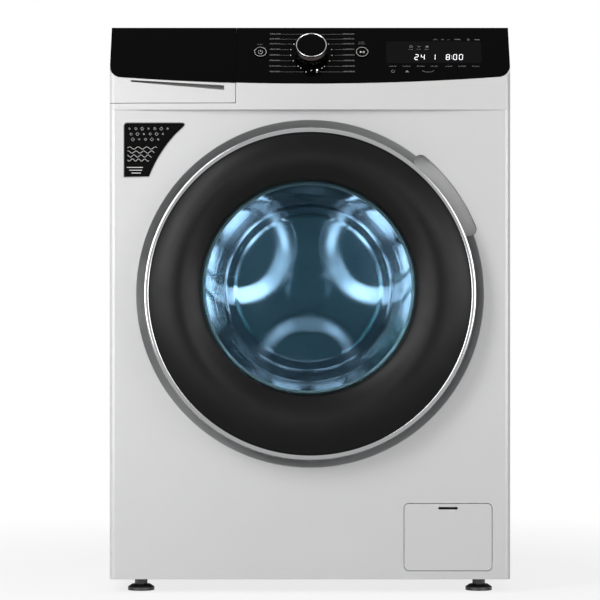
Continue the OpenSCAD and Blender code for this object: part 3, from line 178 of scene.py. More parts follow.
def tubeMesh(name, line, radius, sides, ripple=0.0, pitch=1.0):
    # tube along a line of close points; ripple and pitch give a corrugated hose
    points = []
    travelled = 0.0
    side = Vector((0, 0, 1)) if abs((line[1] - line[0]).normalized().z) < 0.9 else Vector((1, 0, 0))
    for i, here in enumerate(line):
        before = line[max(i - 1, 0)]
        after = line[min(i + 1, len(line) - 1)]
        way = (after - before).normalized()
        side = (side - way * side.dot(way)).normalized()
        up = way.cross(side)
        travelled += (here - before).length
        r = radius + ripple * math.cos(2 * math.pi * travelled / pitch)
        for k in range(sides):
            angle = 2 * math.pi * k / sides
            points.append(here + side * r * math.cos(angle) + up * r * math.sin(angle))
    faces = ringFaces(len(line), sides)
    faces.append(tuple(range(sides)))
    faces.append(tuple((len(line) - 1) * sides + k for k in range(sides)))
    return newMesh(name, points, faces, 50)


def thicken(piece, thickness):
    sheet = piece.modifiers.new("sheet", "SOLIDIFY")
    sheet.thickness = thickness
    sheet.offset = 0


# shader groups

def newGroup(name, inputs, outputs):
    # the group, its two ends and the object space place that its noises read
    group = bpy.data.node_groups.new(name, "ShaderNodeTree")
    for label, value in inputs:
        socket = group.interface.new_socket(label, in_out="INPUT", socket_type="NodeSocketFloat")
        socket.default_value = value
    for label, kind in outputs:
        group.interface.new_socket(label, in_out="OUTPUT", socket_type=kind)
    place = group.nodes.new("ShaderNodeTexCoord").outputs["Object"]
    return group, group.nodes.new("NodeGroupInput"), group.nodes.new("NodeGroupOutput"), place


def addMath(tree, operation, a, b):
    node = tree.nodes.new("ShaderNodeMath")
    node.operation = operation
    for i, value in enumerate((a, b)):
        if isinstance(value, (int, float)):
            node.inputs[i].default_value = value
        else:
            tree.links.new(value, node.inputs[i])
    return node.outputs[0]


def addNoise(tree, scale, detail, vector, roughness=0.5):
    node = tree.nodes.new("ShaderNodeTexNoise")
    node.inputs["Detail"].default_value = detail
    node.inputs["Roughness"].default_value = roughness
    if isinstance(scale, (int, float)):
        node.inputs["Scale"].default_value = scale
    else:
        tree.links.new(scale, node.inputs["Scale"])
    tree.links.new(vector, node.inputs["Vector"])
    return node.outputs["Fac"]


def makeEdgeGroup():
    # softened edges: a rounded normal and a mask that is 1 on worn edges
    group, inside, out, place = newGroup("softEdges", [("Radius", 0.001), ("Wear", 1.0)],
                                         [("Normal", "NodeSocketVector"), ("Mask", "NodeSocketFloat")])
    link = group.links.new
    bevel = group.nodes.new("ShaderNodeBevel")
    bevel.samples = 4
    link(inside.outputs["Radius"], bevel.inputs["Radius"])
    geometry = group.nodes.new("ShaderNodeNewGeometry")
    dot = group.nodes.new("ShaderNodeVectorMath")
    dot.operation = "DOT_PRODUCT"
    link(bevel.outputs["Normal"], dot.inputs[0])
    link(geometry.outputs["Normal"], dot.inputs[1])
    bend = addMath(group, "SUBTRACT", 1.0, dot.outputs["Value"])
    patchy = addNoise(group, 160, 3, place)
    worn = addMath(group, "MULTIPLY", addMath(group, "MULTIPLY", bend, patchy), inside.outputs["Wear"])
    limit = addMath(group, "MINIMUM", addMath(group, "MULTIPLY", worn, 6.0), 1.0)
    link(bevel.outputs["Normal"], out.inputs["Normal"])
    link(limit, out.inputs["Mask"])
    return group


def makeGrainGroup():
    # fine surface grain with a slow drift of tone
    group, inside, out, place = newGroup("surfaceGrain", [("Scale", 900.0), ("Drift", 6.0)],
                                         [("Height", "NodeSocketFloat"), ("Tone", "NodeSocketFloat")])
    fine = addNoise(group, inside.outputs["Scale"], 4, place, 0.6)
    slow = addNoise(group, inside.outputs["Drift"], 3, place, 0.5)
    group.links.new(fine, out.inputs["Height"])
    group.links.new(slow, out.inputs["Tone"])
    return group


def makeBrushGroup():
    # fine lines along one axis, stretched by the three inputs
    stretches = ("Along X", "Along Y", "Along Z")
    sockets = [(label, 1.0) for label in stretches] + [("Scale", 40.0)]
    group, inside, out, place = newGroup("brushedLines", sockets,
                                         [("Height", "NodeSocketFloat"), ("Tone", "NodeSocketFloat")])
    link = group.links.new
    stretch = group.nodes.new("ShaderNodeCombineXYZ")
    for label in stretches:
        link(inside.outputs[label], stretch.inputs[label[-1]])
    multiply = group.nodes.new("ShaderNodeVectorMath")
    multiply.operation = "MULTIPLY"
    link(place, multiply.inputs[0])
    link(stretch.outputs[0], multiply.inputs[1])
    lines = addNoise(group, inside.outputs["Scale"], 5, multiply.outputs[0], 0.65)
    slow = addNoise(group, 9.0, 2, place)
    link(lines, out.inputs["Height"])
    link(slow, out.inputs["Tone"])
    return group


def makeSmudgeGroup():
    # soft patches where hands and dust have dulled a gloss
    group, inside, out, place = newGroup("smudges", [("Scale", 14.0), ("Amount", 0.5)],
                                         [("Mask", "NodeSocketFloat")])
    patches = addNoise(group, inside.outputs["Scale"], 6, place, 0.62)
    raised = addMath(group, "MAXIMUM", addMath(group, "SUBTRACT", patches, 0.42), 0.0)
    stronger = addMath(group, "MULTIPLY", raised, 3.0)
    group.links.new(addMath(group, "MULTIPLY", stronger, inside.outputs["Amount"]), out.inputs["Mask"])
    return group


softEdges = makeEdgeGroup()
surfaceGrain = makeGrainGroup()
brushedLines = makeBrushGroup()
smudges = makeSmudgeGroup()
print("shader groups built")


# materials

def useGroup(tree, group, **values):
    node = tree.nodes.new("ShaderNodeGroup")
    node.node_tree = group
    for label, value in values.items():
        node.inputs[label.replace("_", " ")].default_value = value
    return node


def blendColor(tree, mask, dark, light):
    mix = tree.nodes.new("ShaderNodeMix")
    mix.data_type = "RGBA"
    mix.clamp_factor = True
    tree.links.new(mask, mix.inputs["Factor"])
    for socket, value in (("A", dark), ("B", light)):
        target = [s for s in mix.inputs if s.name == socket and s.type == "RGBA"][0]
        if isinstance(value, tuple):
            target.default_value = (*value, 1.0)
        else:
            tree.links.new(value, target)
    return [s for s in mix.outputs if s.type == "RGBA"][0]


def blendValue(tree, mask, low, high):
    span = tree.nodes.new("ShaderNodeMapRange")
    span.clamp = True
    span.inputs["To Min"].default_value = low
    span.inputs["To Max"].default_value = high
    tree.links.new(mask, span.inputs["Value"])
    return span.outputs["Result"]


def surface(name, color, rough, metal=0.0, drift=0.05, grain=900.0, bump=0.06, bumpDepth=0.0002, edge=0.0008,
            wear=0.4, worn=None, smudge=0.0, brushed=None, sockets=None):
    # base of every finish: grain, tone drift, softened worn edges and uneven gloss
    made = bpy.data.materials.new(name)
    made.use_nodes = True
    tree = made.node_tree
    link = tree.links.new
    shader = tree.nodes["Principled BSDF"]
    shader.inputs["Metallic"].default_value = metal
    for label, value in (sockets or {}).items():
        shader.inputs[label].default_value = value
    if brushed:
        grainNode = useGroup(tree, brushedLines, Along_X=brushed[0], Along_Y=brushed[1], Along_Z=brushed[2],
                             Scale=brushed[3])
    else:
        grainNode = useGroup(tree, surfaceGrain, Scale=grain, Drift=7.0)
    edgeNode = useGroup(tree, softEdges, Radius=edge, Wear=wear)
    darker = tuple(c * (1 - drift) for c in color)
    lighter = tuple(min(c * (1 + drift), 1.0) for c in color)
    body = blendColor(tree, grainNode.outputs["Tone"], darker, lighter)
    edgeColor = worn or tuple(min(c * 1.25 + 0.02, 1.0) for c in color)
    link(blendColor(tree, edgeNode.outputs["Mask"], body, edgeColor), shader.inputs["Base Color"])
    gloss = blendValue(tree, grainNode.outputs["Height"], rough * 0.85, min(rough * 1.15, 1.0))
    if smudge > 0:
        smudgeNode = useGroup(tree, smudges, Amount=smudge)
        gloss = addMath(tree, "ADD", gloss, addMath(tree, "MULTIPLY", smudgeNode.outputs["Mask"], 0.25))
    link(gloss, shader.inputs["Roughness"])
    bumpNode = tree.nodes.new("ShaderNodeBump")
    bumpNode.inputs["Strength"].default_value = bump
    bumpNode.inputs["Distance"].default_value = bumpDepth
    link(grainNode.outputs["Height"], bumpNode.inputs["Height"])
    link(edgeNode.outputs["Normal"], bumpNode.inputs["Normal"])
    link(bumpNode.outputs["Normal"], shader.inputs["Normal"])
    return made


def whiteEnamel():
    return surface("whiteEnamel", (0.60, 0.60, 0.605), 0.34, drift=0.012, grain=420, bump=0.05, edge=0.0012,
                   wear=0.2, worn=(0.74, 0.74, 0.74), smudge=0.12,
                   sockets={"Coat Weight": 0.25, "Coat Roughness": 0.12})


def whiteMoulding():
    return surface("whiteMoulding", (0.61, 0.61, 0.61), 0.38, drift=0.01, grain=1400, bump=0.08, edge=0.0009,
                   wear=0.2, worn=(0.76, 0.76, 0.76), smudge=0.15, sockets={"Specular IOR Level": 0.4})


def blackGloss():
    return surface("blackGloss", (0.0012, 0.0011, 0.0011), 0.2, drift=0.1, grain=600, bump=0.02, edge=0.0006,
                   wear=0.3, worn=(0.012, 0.012, 0.012), smudge=0.25, sockets={"Specular IOR Level": 0.018})


def doorBlack():
    return surface("doorBlack", (0.0044, 0.0042, 0.0042), 0.34, drift=0.1, grain=500, bump=0.02, edge=0.0008,
                   wear=0.2, worn=(0.02, 0.02, 0.02), smudge=0.4, sockets={"Specular IOR Level": 0.11})


def brightChrome():
    return surface("brightChrome", (0.36, 0.365, 0.37), 0.07, metal=1.0, drift=0.02, grain=300, bump=0.02,
                   edge=0.0004, wear=0.3, worn=(0.9, 0.9, 0.9), smudge=0.2)


def bronzeChrome():
    return surface("bronzeChrome", (0.055, 0.046, 0.041), 0.2, metal=1.0, drift=0.1, bump=0.1, edge=0.0003,
                   wear=0.5, worn=(0.85, 0.82, 0.78), brushed=(1.0, 1.0, 1.0, 900.0))


def drumSteel():
    return surface("drumSteel", (0.36, 0.38, 0.38), 0.17, metal=1.0, drift=0.06, bump=0.12, edge=0.0006,
                   wear=0.4, worn=(0.5, 0.6, 0.65), brushed=(0.2, 9.0, 0.2, 60.0), smudge=0.2)


# the drum's stainless again, for its back, with painted shade: about ten times darker and bluer than the shell,
# standing in for the shade deep in the drum
def shadedBackSteel():
    return surface("shadedBackSteel", (0.036, 0.050, 0.070), 0.16, metal=1.0, drift=0.25, bump=0.02, edge=0.0006,
                   wear=0.3, worn=(0.12, 0.15, 0.16), grain=25, smudge=0.3)


def zincPlate():
    return surface("zincPlate", (0.50, 0.51, 0.52), 0.36, metal=0.85, drift=0.1, bump=0.15, edge=0.0006,
                   wear=0.5, worn=(0.7, 0.71, 0.72), brushed=(0.3, 1.0, 6.0, 40.0), smudge=0.3)


def springWire():
    return surface("springWire", (0.28, 0.29, 0.30), 0.3, metal=0.9, drift=0.15, bump=0.2, edge=0.0003,
                   brushed=(4.0, 4.0, 1.0, 200.0))


def castAlloy():
    return surface("castAlloy", (0.46, 0.47, 0.48), 0.5, metal=0.9, drift=0.12, grain=260, bump=0.5,
                   bumpDepth=0.0006, edge=0.0015, wear=0.7, worn=(0.7, 0.71, 0.72))


def tubPlastic():
    return surface("tubPlastic", (0.56, 0.57, 0.58), 0.6, drift=0.06, grain=700, bump=0.3, edge=0.0012)


def greyPlastic():
    return surface("greyPlastic", (0.15, 0.155, 0.16), 0.5, drift=0.1, grain=1200, bump=0.3, edge=0.0008)


def blackPlastic():
    return surface("blackPlastic", (0.012, 0.012, 0.013), 0.42, drift=0.15, grain=1300, bump=0.3,
                   edge=0.0008, wear=0.4, worn=(0.05, 0.05, 0.05))


def palePlastic():
    return surface("palePlastic", (0.70, 0.74, 0.78), 0.3, drift=0.04, grain=800, bump=0.08, edge=0.0008,
                   sockets={"Subsurface Weight": 0.15, "Subsurface Radius": (0.002, 0.002, 0.003)})


def blueMoulding():
    return surface("blueMoulding", (0.02, 0.10, 0.42), 0.32, drift=0.06, grain=900, bump=0.1, edge=0.0006)


def sealRubber():
    return surface("sealRubber", (0.13, 0.135, 0.14), 0.62, drift=0.12, grain=500, bump=0.35,
                   bumpDepth=0.0004, edge=0.001, wear=0.5, worn=(0.24, 0.24, 0.24), smudge=0.3,
                   sockets={"Sheen Weight": 0.15})


def hoseRubber():
    return surface("hoseRubber", (0.018, 0.018, 0.02), 0.55, drift=0.2, grain=600, bump=0.4, edge=0.0008)


def beltRubber():
    return surface("beltRubber", (0.01, 0.01, 0.01), 0.7, drift=0.2, bump=0.6, bumpDepth=0.0006,
                   brushed=(0.2, 60.0, 0.2, 12.0), edge=0.0004)


def castConcrete():
    return surface("castConcrete", (0.30, 0.29, 0.27), 0.88, drift=0.2, grain=180, bump=0.8,
                   bumpDepth=0.0015, edge=0.003, wear=0.9, worn=(0.42, 0.41, 0.39))


def circuitGreen():
    return surface("circuitGreen", (0.01, 0.09, 0.03), 0.4, drift=0.25, grain=300, bump=0.3, edge=0.0004,
                   worn=(0.3, 0.3, 0.2))


def ironWinding():
    return surface("ironWinding", (0.17, 0.13, 0.11), 0.5, metal=0.7, drift=0.2, bump=0.6, bumpDepth=0.0005,
                   brushed=(0.3, 30.0, 0.3, 20.0), edge=0.0008, wear=0.6, worn=(0.45, 0.4, 0.36))


def smokedWindow():
    return surface("smokedWindow", (0.0028, 0.0028, 0.003), 0.12, drift=0.2, grain=1500, bump=0.02,
                   edge=0.0002, sockets={"Specular IOR Level": 0.03})


def stickerFilm():
    return surface("stickerFilm", (0.0018, 0.0018, 0.002), 0.25, drift=0.2, grain=800, bump=0.05,
                   edge=0.0003, sockets={"Specular IOR Level": 0.035})


def screenPrint(name, color, glow=0.0):
    light = {"Emission Color": (*color, 1), "Emission Strength": glow} if glow > 0 else {}
    return surface(name, color, 0.55, drift=0.08, grain=2500, bump=0.15, edge=0.0001, wear=0.1, sockets=light)


def clearGlass():
    # faintly blue glass; lamps reach what is behind it through the shadow branch
    made = bpy.data.materials.new("clearGlass")
    made.use_nodes = True
    tree = made.node_tree
    link = tree.links.new
    shader = tree.nodes["Principled BSDF"]
    shader.inputs["Base Color"].default_value = (0.58, 0.75, 0.79, 1)
    shader.inputs["Specular Tint"].default_value = (0.08, 0.3, 0.4, 1)
    shader.inputs["Transmission Weight"].default_value = 1.0
    shader.inputs["IOR"].default_value = 1.45
    film = useGroup(tree, smudges, Amount=0.35, Scale=22.0)
    link(addMath(tree, "MULTIPLY", film.outputs["Mask"], 0.03), shader.inputs["Roughness"])
    ripple = useGroup(tree, surfaceGrain, Scale=9.0, Drift=4.0)
    bumpNode = tree.nodes.new("ShaderNodeBump")
    bumpNode.inputs["Strength"].default_value = 0.12
    bumpNode.inputs["Distance"].default_value = 0.002
    link(ripple.outputs["Height"], bumpNode.inputs["Height"])
    link(bumpNode.outputs["Normal"], shader.inputs["Normal"])
    clear = tree.nodes.new("ShaderNodeBsdfTransparent")
    clear.inputs["Color"].default_value = (0.78, 0.93, 0.97, 1)
    path = tree.nodes.new("ShaderNodeLightPath")
    mix = tree.nodes.new("ShaderNodeMixShader")
    link(path.outputs["Is Shadow Ray"], mix.inputs["Fac"])
    link(shader.outputs["BSDF"], mix.inputs[1])
    link(clear.outputs["BSDF"], mix.inputs[2])
    link(mix.outputs["Shader"], tree.nodes["Material Output"].inputs["Surface"])
    return made


looks = {
    "white_steel": whiteEnamel(), "white_plastic": whiteMoulding(), "black_gloss": blackGloss(),
    "chrome_trim": brightChrome(), "door_glass": clearGlass(), "stainless": drumSteel(),
    "zinc_steel": zincPlate(), "spring_steel": springWire(), "cast_alloy": castAlloy(),
    "tub_plastic": tubPlastic(), "grey_plastic": greyPlastic(), "black_plastic": blackPlastic(),
    "clear_plastic": palePlastic(), "blue_plastic": blueMoulding(), "seal_rubber": sealRubber(),
    "hose_rubber": hoseRubber(), "belt_rubber": beltRubber(), "concrete": castConcrete(),
    "board_green": circuitGreen(), "copper_iron": ironWinding(),
}
for part in frame["record"]["subparts"]:
    mesh = nodes[part["node"]].data
    mesh.materials.clear()
    mesh.materials.append(looks[part["material_slot"]])


# door

coverShape = {
    "innerRadius": 158 * mm, "crestRadius": 198 * mm, "crestRise": 12 * mm, "lipDepth": 11 * mm,
    "lipWidth": 5 * mm, "ringSeat": 7.2 * mm, "thickness": 3 * mm, "spans": 40, "steps": 192,
}


def makeCover():
    # crowned black ring between the chrome ring and the glass, whose centres differ
    shape = coverShape
    inner = shape["innerRadius"] + shape["lipWidth"]
    width = ringRadius - shape["ringSeat"] - inner
    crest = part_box("door_cover")[0].y
    crestShare = (shape["crestRadius"] - inner) / width
    steps, spans = shape["steps"], shape["spans"]

    def height(t):
        span = (1 - crestShare) if t > crestShare else crestShare
        return crest + shape["crestRise"] * abs((t - crestShare) / span) ** 2

    # share of the width and place in depth: rolled lip, crown, seat on the ring, then the back of it all
    front = [(-shape["lipWidth"] / width * s, height(0) + shape["lipDepth"] * s ** 1.6)
             for s in (1.0, 0.8, 0.6, 0.4, 0.2)]
    front += [(i / spans, height(i / spans)) for i in range(spans + 1)]
    seat = ringHigh.y - 0.5 * mm
    rear = [(t - (0.03 if t > 0.9 else 0), y + shape["thickness"]) for t, y in reversed(front)]
    profile = front + [(1.0, seat), (0.96, seat)] + rear
    points = []
    for k in range(steps):
        angle = 2 * math.pi * k / steps
        points += [turned(inner + width * t, angle, y, drumAxis.lerp(ringAxis, clamped(t)))
                   for t, y in profile]
    mesh = newMesh("doorCover", points, sectionFaces(steps, len(profile)), 50)
    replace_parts(newPiece("doorCover", mesh, doorBlack(), "door"), "door_cover")


ringShape = {"width": 7 * mm, "innerEdge": 1.6 * mm, "outerEdge": 2.6 * mm, "backEdge": 0.4 * mm}


def makeChromeRing():
    bore, front, back = ringRadius - ringShape["width"], ringLow.y, ringHigh.y
    profile = rounded([(bore, back, 0), (bore, front, ringShape["innerEdge"]),
                       (ringRadius, front, ringShape["outerEdge"]),
                       (ringRadius, back, ringShape["backEdge"])], 8)
    mesh = latheMesh("chromeRing", profile, ringAxis, 256, 45)
    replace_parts(newPiece("chromeRing", mesh, looks["chrome_trim"], "door"), "door_ring")


bowlShape = {
    "flange": 14 * mm,  # from the bore out to the rim
    "rimEdge": [(0, 0, 1), (0, 5, 1)],  # from the rim and the flange's face
    "outerSide": [(4, 5, 2), (-1, 22, 8), (-12, 64, 20)],  # from the bore and the flange's face
    "outerFloor": [(-27, -18, 14), (-44, -3, 14), (-92, 0, 30)],  # from the bore and the floor
    "centre": [(0, 0, 0), (0, -4, 0)],  # from the axis and the floor
    "innerFloor": [(-92, -4, 30), (-47, -7, 12), (-31, -20, 12)],
    "innerSide": [(-16, 63, 20), (-5, 20, 8), (0, 0, 1.5)],
}


def makeBowl():
    # thick moulded glass: flange, drawn wall and domed floor
    low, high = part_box("door_glass")
    rim = (high.x - low.x) / 2
    bore = rim - bowlShape["flange"]
    corners = []
    for radius, y, part in ((rim, low.y, "rimEdge"), (bore, low.y, "outerSide"), (bore, high.y, "outerFloor"),
                            (0, high.y, "centre"), (bore, high.y, "innerFloor"), (bore, low.y, "innerSide")):
        corners += cornersFrom(radius, y, bowlShape[part])
    mesh = latheMesh("glassBowl", rounded(corners, 6), drumAxis, 192, 60)
    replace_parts(newPiece("glassBowl", mesh, looks["door_glass"], "door"), "door_glass")


makeCover()
makeChromeRing()
makeBowl()
print("door dressed")


# drum

shellShape = {
    "around": 84, "along": 19,  # cells of one hole each
    "hole": 2.6 * mm, "dimple": 0.9 * mm, "inset": 0.8 * mm, "sheet": 1.4 * mm,
    "holeRings": ((2.1, 0.0), (1.25, 0.55), (1.0, 1.0)),  # shares of the hole's radius and the dimple
    "frontRim": 20 * mm, "backRim": 10 * mm, "rimInset": 1.6 * mm, "mouth": 168 * mm,
    "rimOutside": [(0, 21, 0), (0, 12, 6), (-9, 4.5, 6)],  # from the rim's radius and the shell's front
    "mouthBead": [(9, 4.5, 4), (4, 0, 3), (0, 3, 1), (1, 5, 1), (4.5, 2, 2), (9.5, 6, 3)],
    "rimInside": [(-9, 6, 5), (-1.5, 13, 5), (-1.5, 21, 0)],
    "rearSeam": [(0, -11, 0.3), (1.6, -11, 0.3), (1.6, 0, 1), (-1.5, 0, 0.5), (-1.5, -11, 0.3)],
}
cellCorners = ((0, 0), (1, 0), (2, 0), (2, 1), (2, 2), (1, 2), (0, 2), (0, 1))  # in half cells
shellLow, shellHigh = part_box("drum_shell")
drumRadius = (shellHigh.x - shellLow.x) / 2


def makePerforatedShell():
    # every cell has one round dimpled hole; rows are staggered by half a cell
    around, along = shellShape["around"], shellShape["along"]
    y0, y1 = shellLow.y + shellShape["frontRim"], shellHigh.y - shellShape["backRim"]
    pitch = (y1 - y0) / along
    half = math.pi / around
    radius = drumRadius - shellShape["inset"]
    points, faces, lookup = [], [], {}

    def corner(i, j):
        # i counts half cells around, j counts half cells along
        key = (i % (2 * around), j)
        if key not in lookup:
            lookup[key] = len(points)
            points.append(turned(radius, key[0] * half, y0 + j * pitch / 2, drumAxis))
        return lookup[key]

    for row in range(along):
        for cell in range(around):
            i, j = 2 * cell + row % 2, 2 * row
            before = [corner(i + a, j + b) for a, b in cellCorners]
            middle, yMiddle = (i + 1) * half, y0 + (j + 1) * pitch / 2
            for size, push in shellShape["holeRings"]:
                reach = shellShape["hole"] * size
                after = []
                for k in range(8):
                    angle = math.radians(225 + 45 * k)
                    after.append(len(points))
                    points.append(turned(radius + shellShape["dimple"] * push,
                                         middle + reach * math.cos(angle) / radius,
                                         yMiddle + reach * math.sin(angle), drumAxis))
                faces += [(before[k], before[(k + 1) % 8], after[(k + 1) % 8], after[k]) for k in range(8)]
                before = after
    mesh = newMesh("drumShell", points, faces, 60)
    shell = newPiece("drumShell", mesh, looks["stainless"], "drum")
    thicken(shell, shellShape["sheet"])
    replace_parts(shell, "drum_shell")


def makeDrumRims():
    # rolled front rim and rear seam that the sheet is joined to
    rim = drumRadius - shellShape["rimInset"]
    front = cornersFrom(rim, shellLow.y, shellShape["rimOutside"])
    front += cornersFrom(shellShape["mouth"], shellLow.y, shellShape["mouthBead"])
    front += cornersFrom(rim, shellLow.y, shellShape["rimInside"])
    mesh = latheMesh("drumFrontRim", rounded(front), drumAxis, 192, 50)
    newPiece("drumFrontRim", mesh, looks["stainless"], "drum")
    rear = cornersFrom(rim, shellHigh.y, shellShape["rearSeam"])
    mesh = latheMesh("drumRearRim", rounded(rear, 3), drumAxis, 192)
    newPiece("drumRearRim", mesh, looks["stainless"], "drum")


backShape = {
    "rings": 70, "steps": 216, "sheet": 0.8 * mm, "inset": 1.5 * mm, "floor": 1 * mm, "arms": 3,
    "pocketDepth": 8 * mm, "pocketReach": 92 * mm, "pocketCentre": 144 * mm, "pocketHalfWidth": 94 * mm,
    "squareness": 2.4, "narrowing": 0.28,  # of the pockets, towards the hub
    "edgeBand": 34 * mm, "edgeSlope": 16 * mm, "hub": 26 * mm, "hubSlope": 14 * mm, "hubDish": 1.5 * mm,
}


def makeDrumBack():
    # pressed back: three arms stand forward between three smooth pockets
    shape = backShape
    low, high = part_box("drum_back")
    rings, steps = shape["rings"], shape["steps"]
    radius = (high.x - low.x) / 2 - shape["inset"]
    armY = high.y - shape["floor"] - shape["pocketDepth"]
    power = shape["squareness"]

    def pocket(r, angle):
        # 1 on the rim of the nearest pocket and less inside it
        shares = []
        width = shape["pocketHalfWidth"] * (1 - shape["narrowing"] * (1 - clamped(r / radius)))
        for k in range(shape["arms"]):
            turn = angle - math.radians(30 + 360 / shape["arms"] * k)
            u = (r * math.cos(turn) - shape["pocketCentre"]) / shape["pocketReach"]
            v = r * math.sin(turn) / width
            shares.append((abs(u) ** power + abs(v) ** power) ** (1 / power))
        return min(shares)

    points = []
    for i in range(1, rings + 1):
        r = radius * i / rings
        edge = eased((r - (radius - shape["edgeBand"])) / shape["edgeSlope"])
        hub = shape["hubDish"] * (1 - eased((r - shape["hub"]) / shape["hubSlope"]))
        for k in range(steps):
            angle = 2 * math.pi * k / steps
            inside = clamped((1.18 - pocket(r, angle)) / 0.42)
            inside = 0.6 * inside + 0.4 * eased(inside)  # a slope between straight and eased
            points.append(turned(r, angle, armY + shape["pocketDepth"] * max(inside, edge) - hub, drumAxis))
    points.append(Vector((drumAxis.x, armY - shape["hubDish"], drumAxis.z)))
    faces = ringFaces(rings, steps)
    faces += [(k, (k + 1) % steps, len(points) - 1) for k in range(steps)]
    # the back takes the stainless that is darkened with painted shade
    back = newPiece("drumBack", newMesh("drumBack", points, faces, 60), shadedBackSteel(), "drum")
    thicken(back, shape["sheet"])
    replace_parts(back, "drum_back")


makePerforatedShell()
makeDrumRims()
makeDrumBack()
print("drum dressed")


# fascia: the plane is the knob joint's, so that everything printed lies on it

fasciaOrigin = Vector(joints["knob_turn"]["pos_m"])
fasciaOut = Vector(joints["knob_turn"]["axis"]).normalized()
fasciaRight = Vector((1, 0, 0))
fasciaUp = fasciaOut.cross(fasciaRight).normalized()


def onFascia(u, v, h):
    return fasciaOrigin + fasciaRight * u + fasciaUp * v + fasciaOut * h


def onFront(x, z, h):
    return Vector((x, frontY - h, z))


class Print:
    # collects thin raised strokes and shapes, drawn in mm, that become one mesh

    def __init__(self, place, lift, height):
        self.place, self.low, self.high = place, lift, lift + height
        self.points, self.faces = [], []

    def spot(self, a, b, h):
        return self.place(a * mm, b * mm, h * mm)

    def fill(self, outline):
        base = len(self.points)
        count = len(outline)
        for h in (self.low, self.high):
            self.points += [self.spot(a, b, h) for a, b in outline]
        self.faces.append(tuple(base + count + i for i in range(count)))
        self.faces.append(tuple(base + count - 1 - i for i in range(count)))
        for i in range(count):
            m = (i + 1) % count
            self.faces.append((base + i, base + m, base + count + m, base + count + i))

    def stroke(self, line, width, closed=False):
        count = len(line)
        base = len(self.points)
        for i, (a, b) in enumerate(line):
            here = Vector((a, b))
            before = Vector(line[i - 1]) if closed or i > 0 else here
            after = Vector(line[(i + 1) % count]) if closed or i < count - 1 else here
            way = (after - before).normalized()
            across = Vector((-way.y, way.x)) * width / 2
            for side in (here + across, here - across):
                self.points += [self.spot(side.x, side.y, self.low), self.spot(side.x, side.y, self.high)]
        spans = count if closed else count - 1
        for i in range(spans):
            p, q = base + 4 * i, base + 4 * ((i + 1) % count)
            self.faces += [(p, q, q + 1, p + 1), (p + 1, q + 1, q + 3, p + 3), (p + 3, q + 3, q + 2, p + 2),
                           (p + 2, q + 2, q, p)]
        if not closed:
            last = base + 4 * (count - 1)
            self.faces += [(base, base + 1, base + 3, base + 2), (last, last + 2, last + 3, last + 1)]

    def bar(self, x, y, length, width):
        self.stroke([(x - length / 2, y), (x + length / 2, y)], width)

    def ring(self, x, y, radius, width, steps, start=0, sweep=360):
        closed = sweep == 360
        angles = [math.radians(start + sweep * i / steps) for i in range(steps if closed else steps + 1)]
        self.stroke([(x + radius * math.cos(a), y + radius * math.sin(a)) for a in angles], width, closed)

    def dot(self, x, y, radius):
        angles = [math.pi * i / 8 for i in range(16)]
        self.fill([(x + radius * math.cos(a), y + radius * math.sin(a)) for a in angles])

    def words(self, x, y, length, height, seed):
        # a label too small to read, as a row of tiny upright marks
        count = max(int(length / (height * 0.62)), 2)
        for i in range(count):
            here = x + i * length / count
            tall = height * (0.55 + 0.45 * ((seed * 7 + i * 5) % 4) / 3)
            self.stroke([(here, y), (here, y + tall)], height * 0.2)

    def finish(self, name, material, body):
        return newPiece(name, newMesh(name, self.points, self.faces, 30), material, body)


inkWhite = screenPrint("inkWhite", (0.62, 0.62, 0.61))
inkGrey = screenPrint("inkGrey", (0.19, 0.19, 0.19))
inkPale = screenPrint("inkPale", (0.27, 0.27, 0.27))
digitGlow = screenPrint("digitGlow", (0.95, 0.96, 1.0), 0.9)
inkLayer = (0.05, 0.12)  # lift over the fascia and thickness, in mm

scaleShape = {  # in mm from the knob's axis
    "rows": (40.8, 31.2, 21.5, 10.7, -0.4, -11.2, -22.0, -32.8), "rowsWithoutDot": (40.8, 31.2),
    "leftEnd": -62.4, "rightEnd": 65.4, "line": 0.3, "labelShare": 0.74, "labelHeight": 1.6,
    "middle": 4, "halfHeight": 37, "innerLeast": 11, "innerSwell": 23.6,  # round gap left for the knob
    "dotGap": 3.2, "dot": 0.95, "footDots": (238, 270, 302), "footRadius": 30, "footDot": 0.9,
}


def makeProgrammeScale():
    # lines from the knob out to the unreadable programme names
    shape = scaleShape
    ink = Print(onFascia, *inkLayer)
    dim = Print(onFascia, *inkLayer)
    names = Print(onFascia, *inkLayer)
    for row, v in enumerate(shape["rows"]):
        bend = abs(v - shape["middle"]) / shape["halfHeight"]
        inner = shape["innerLeast"] + shape["innerSwell"] * (1 - bend * bend)
        for side, end in ((-1, shape["leftEnd"]), (1, shape["rightEnd"])):
            label = end * shape["labelShare"]
            dim.stroke([(side * inner, v), (end, v)], shape["line"])
            if v not in shape["rowsWithoutDot"]:
                ink.dot(side * (inner - shape["dotGap"]), v, shape["dot"])
            names.words(min(label, end), v + 0.5, abs(end - label), shape["labelHeight"], row + 3 * side)
    reach = shape["footRadius"]
    for angle in (math.radians(degrees) for degrees in shape["footDots"]):
        ink.dot(reach * math.cos(angle), reach * math.sin(angle), shape["footDot"])
    ink.finish("programmeMarks", inkWhite, "root")
    dim.finish("programmeLines", inkGrey, "root")
    names.finish("programmeNames", inkPale, "root")


buttonShape = {
    "x": 76.5, "v": 4.9, "ring": 8.8, "ringLine": 0.5, "rimLift": 1.98, "faceLift": 1.45, "ink": 0.12,
    "powerLabel": ((15.2, 9.0),), "startLabel": ((19.6, 8.6), (16.4, 10.4)), "labelHeight": 2.0,
}


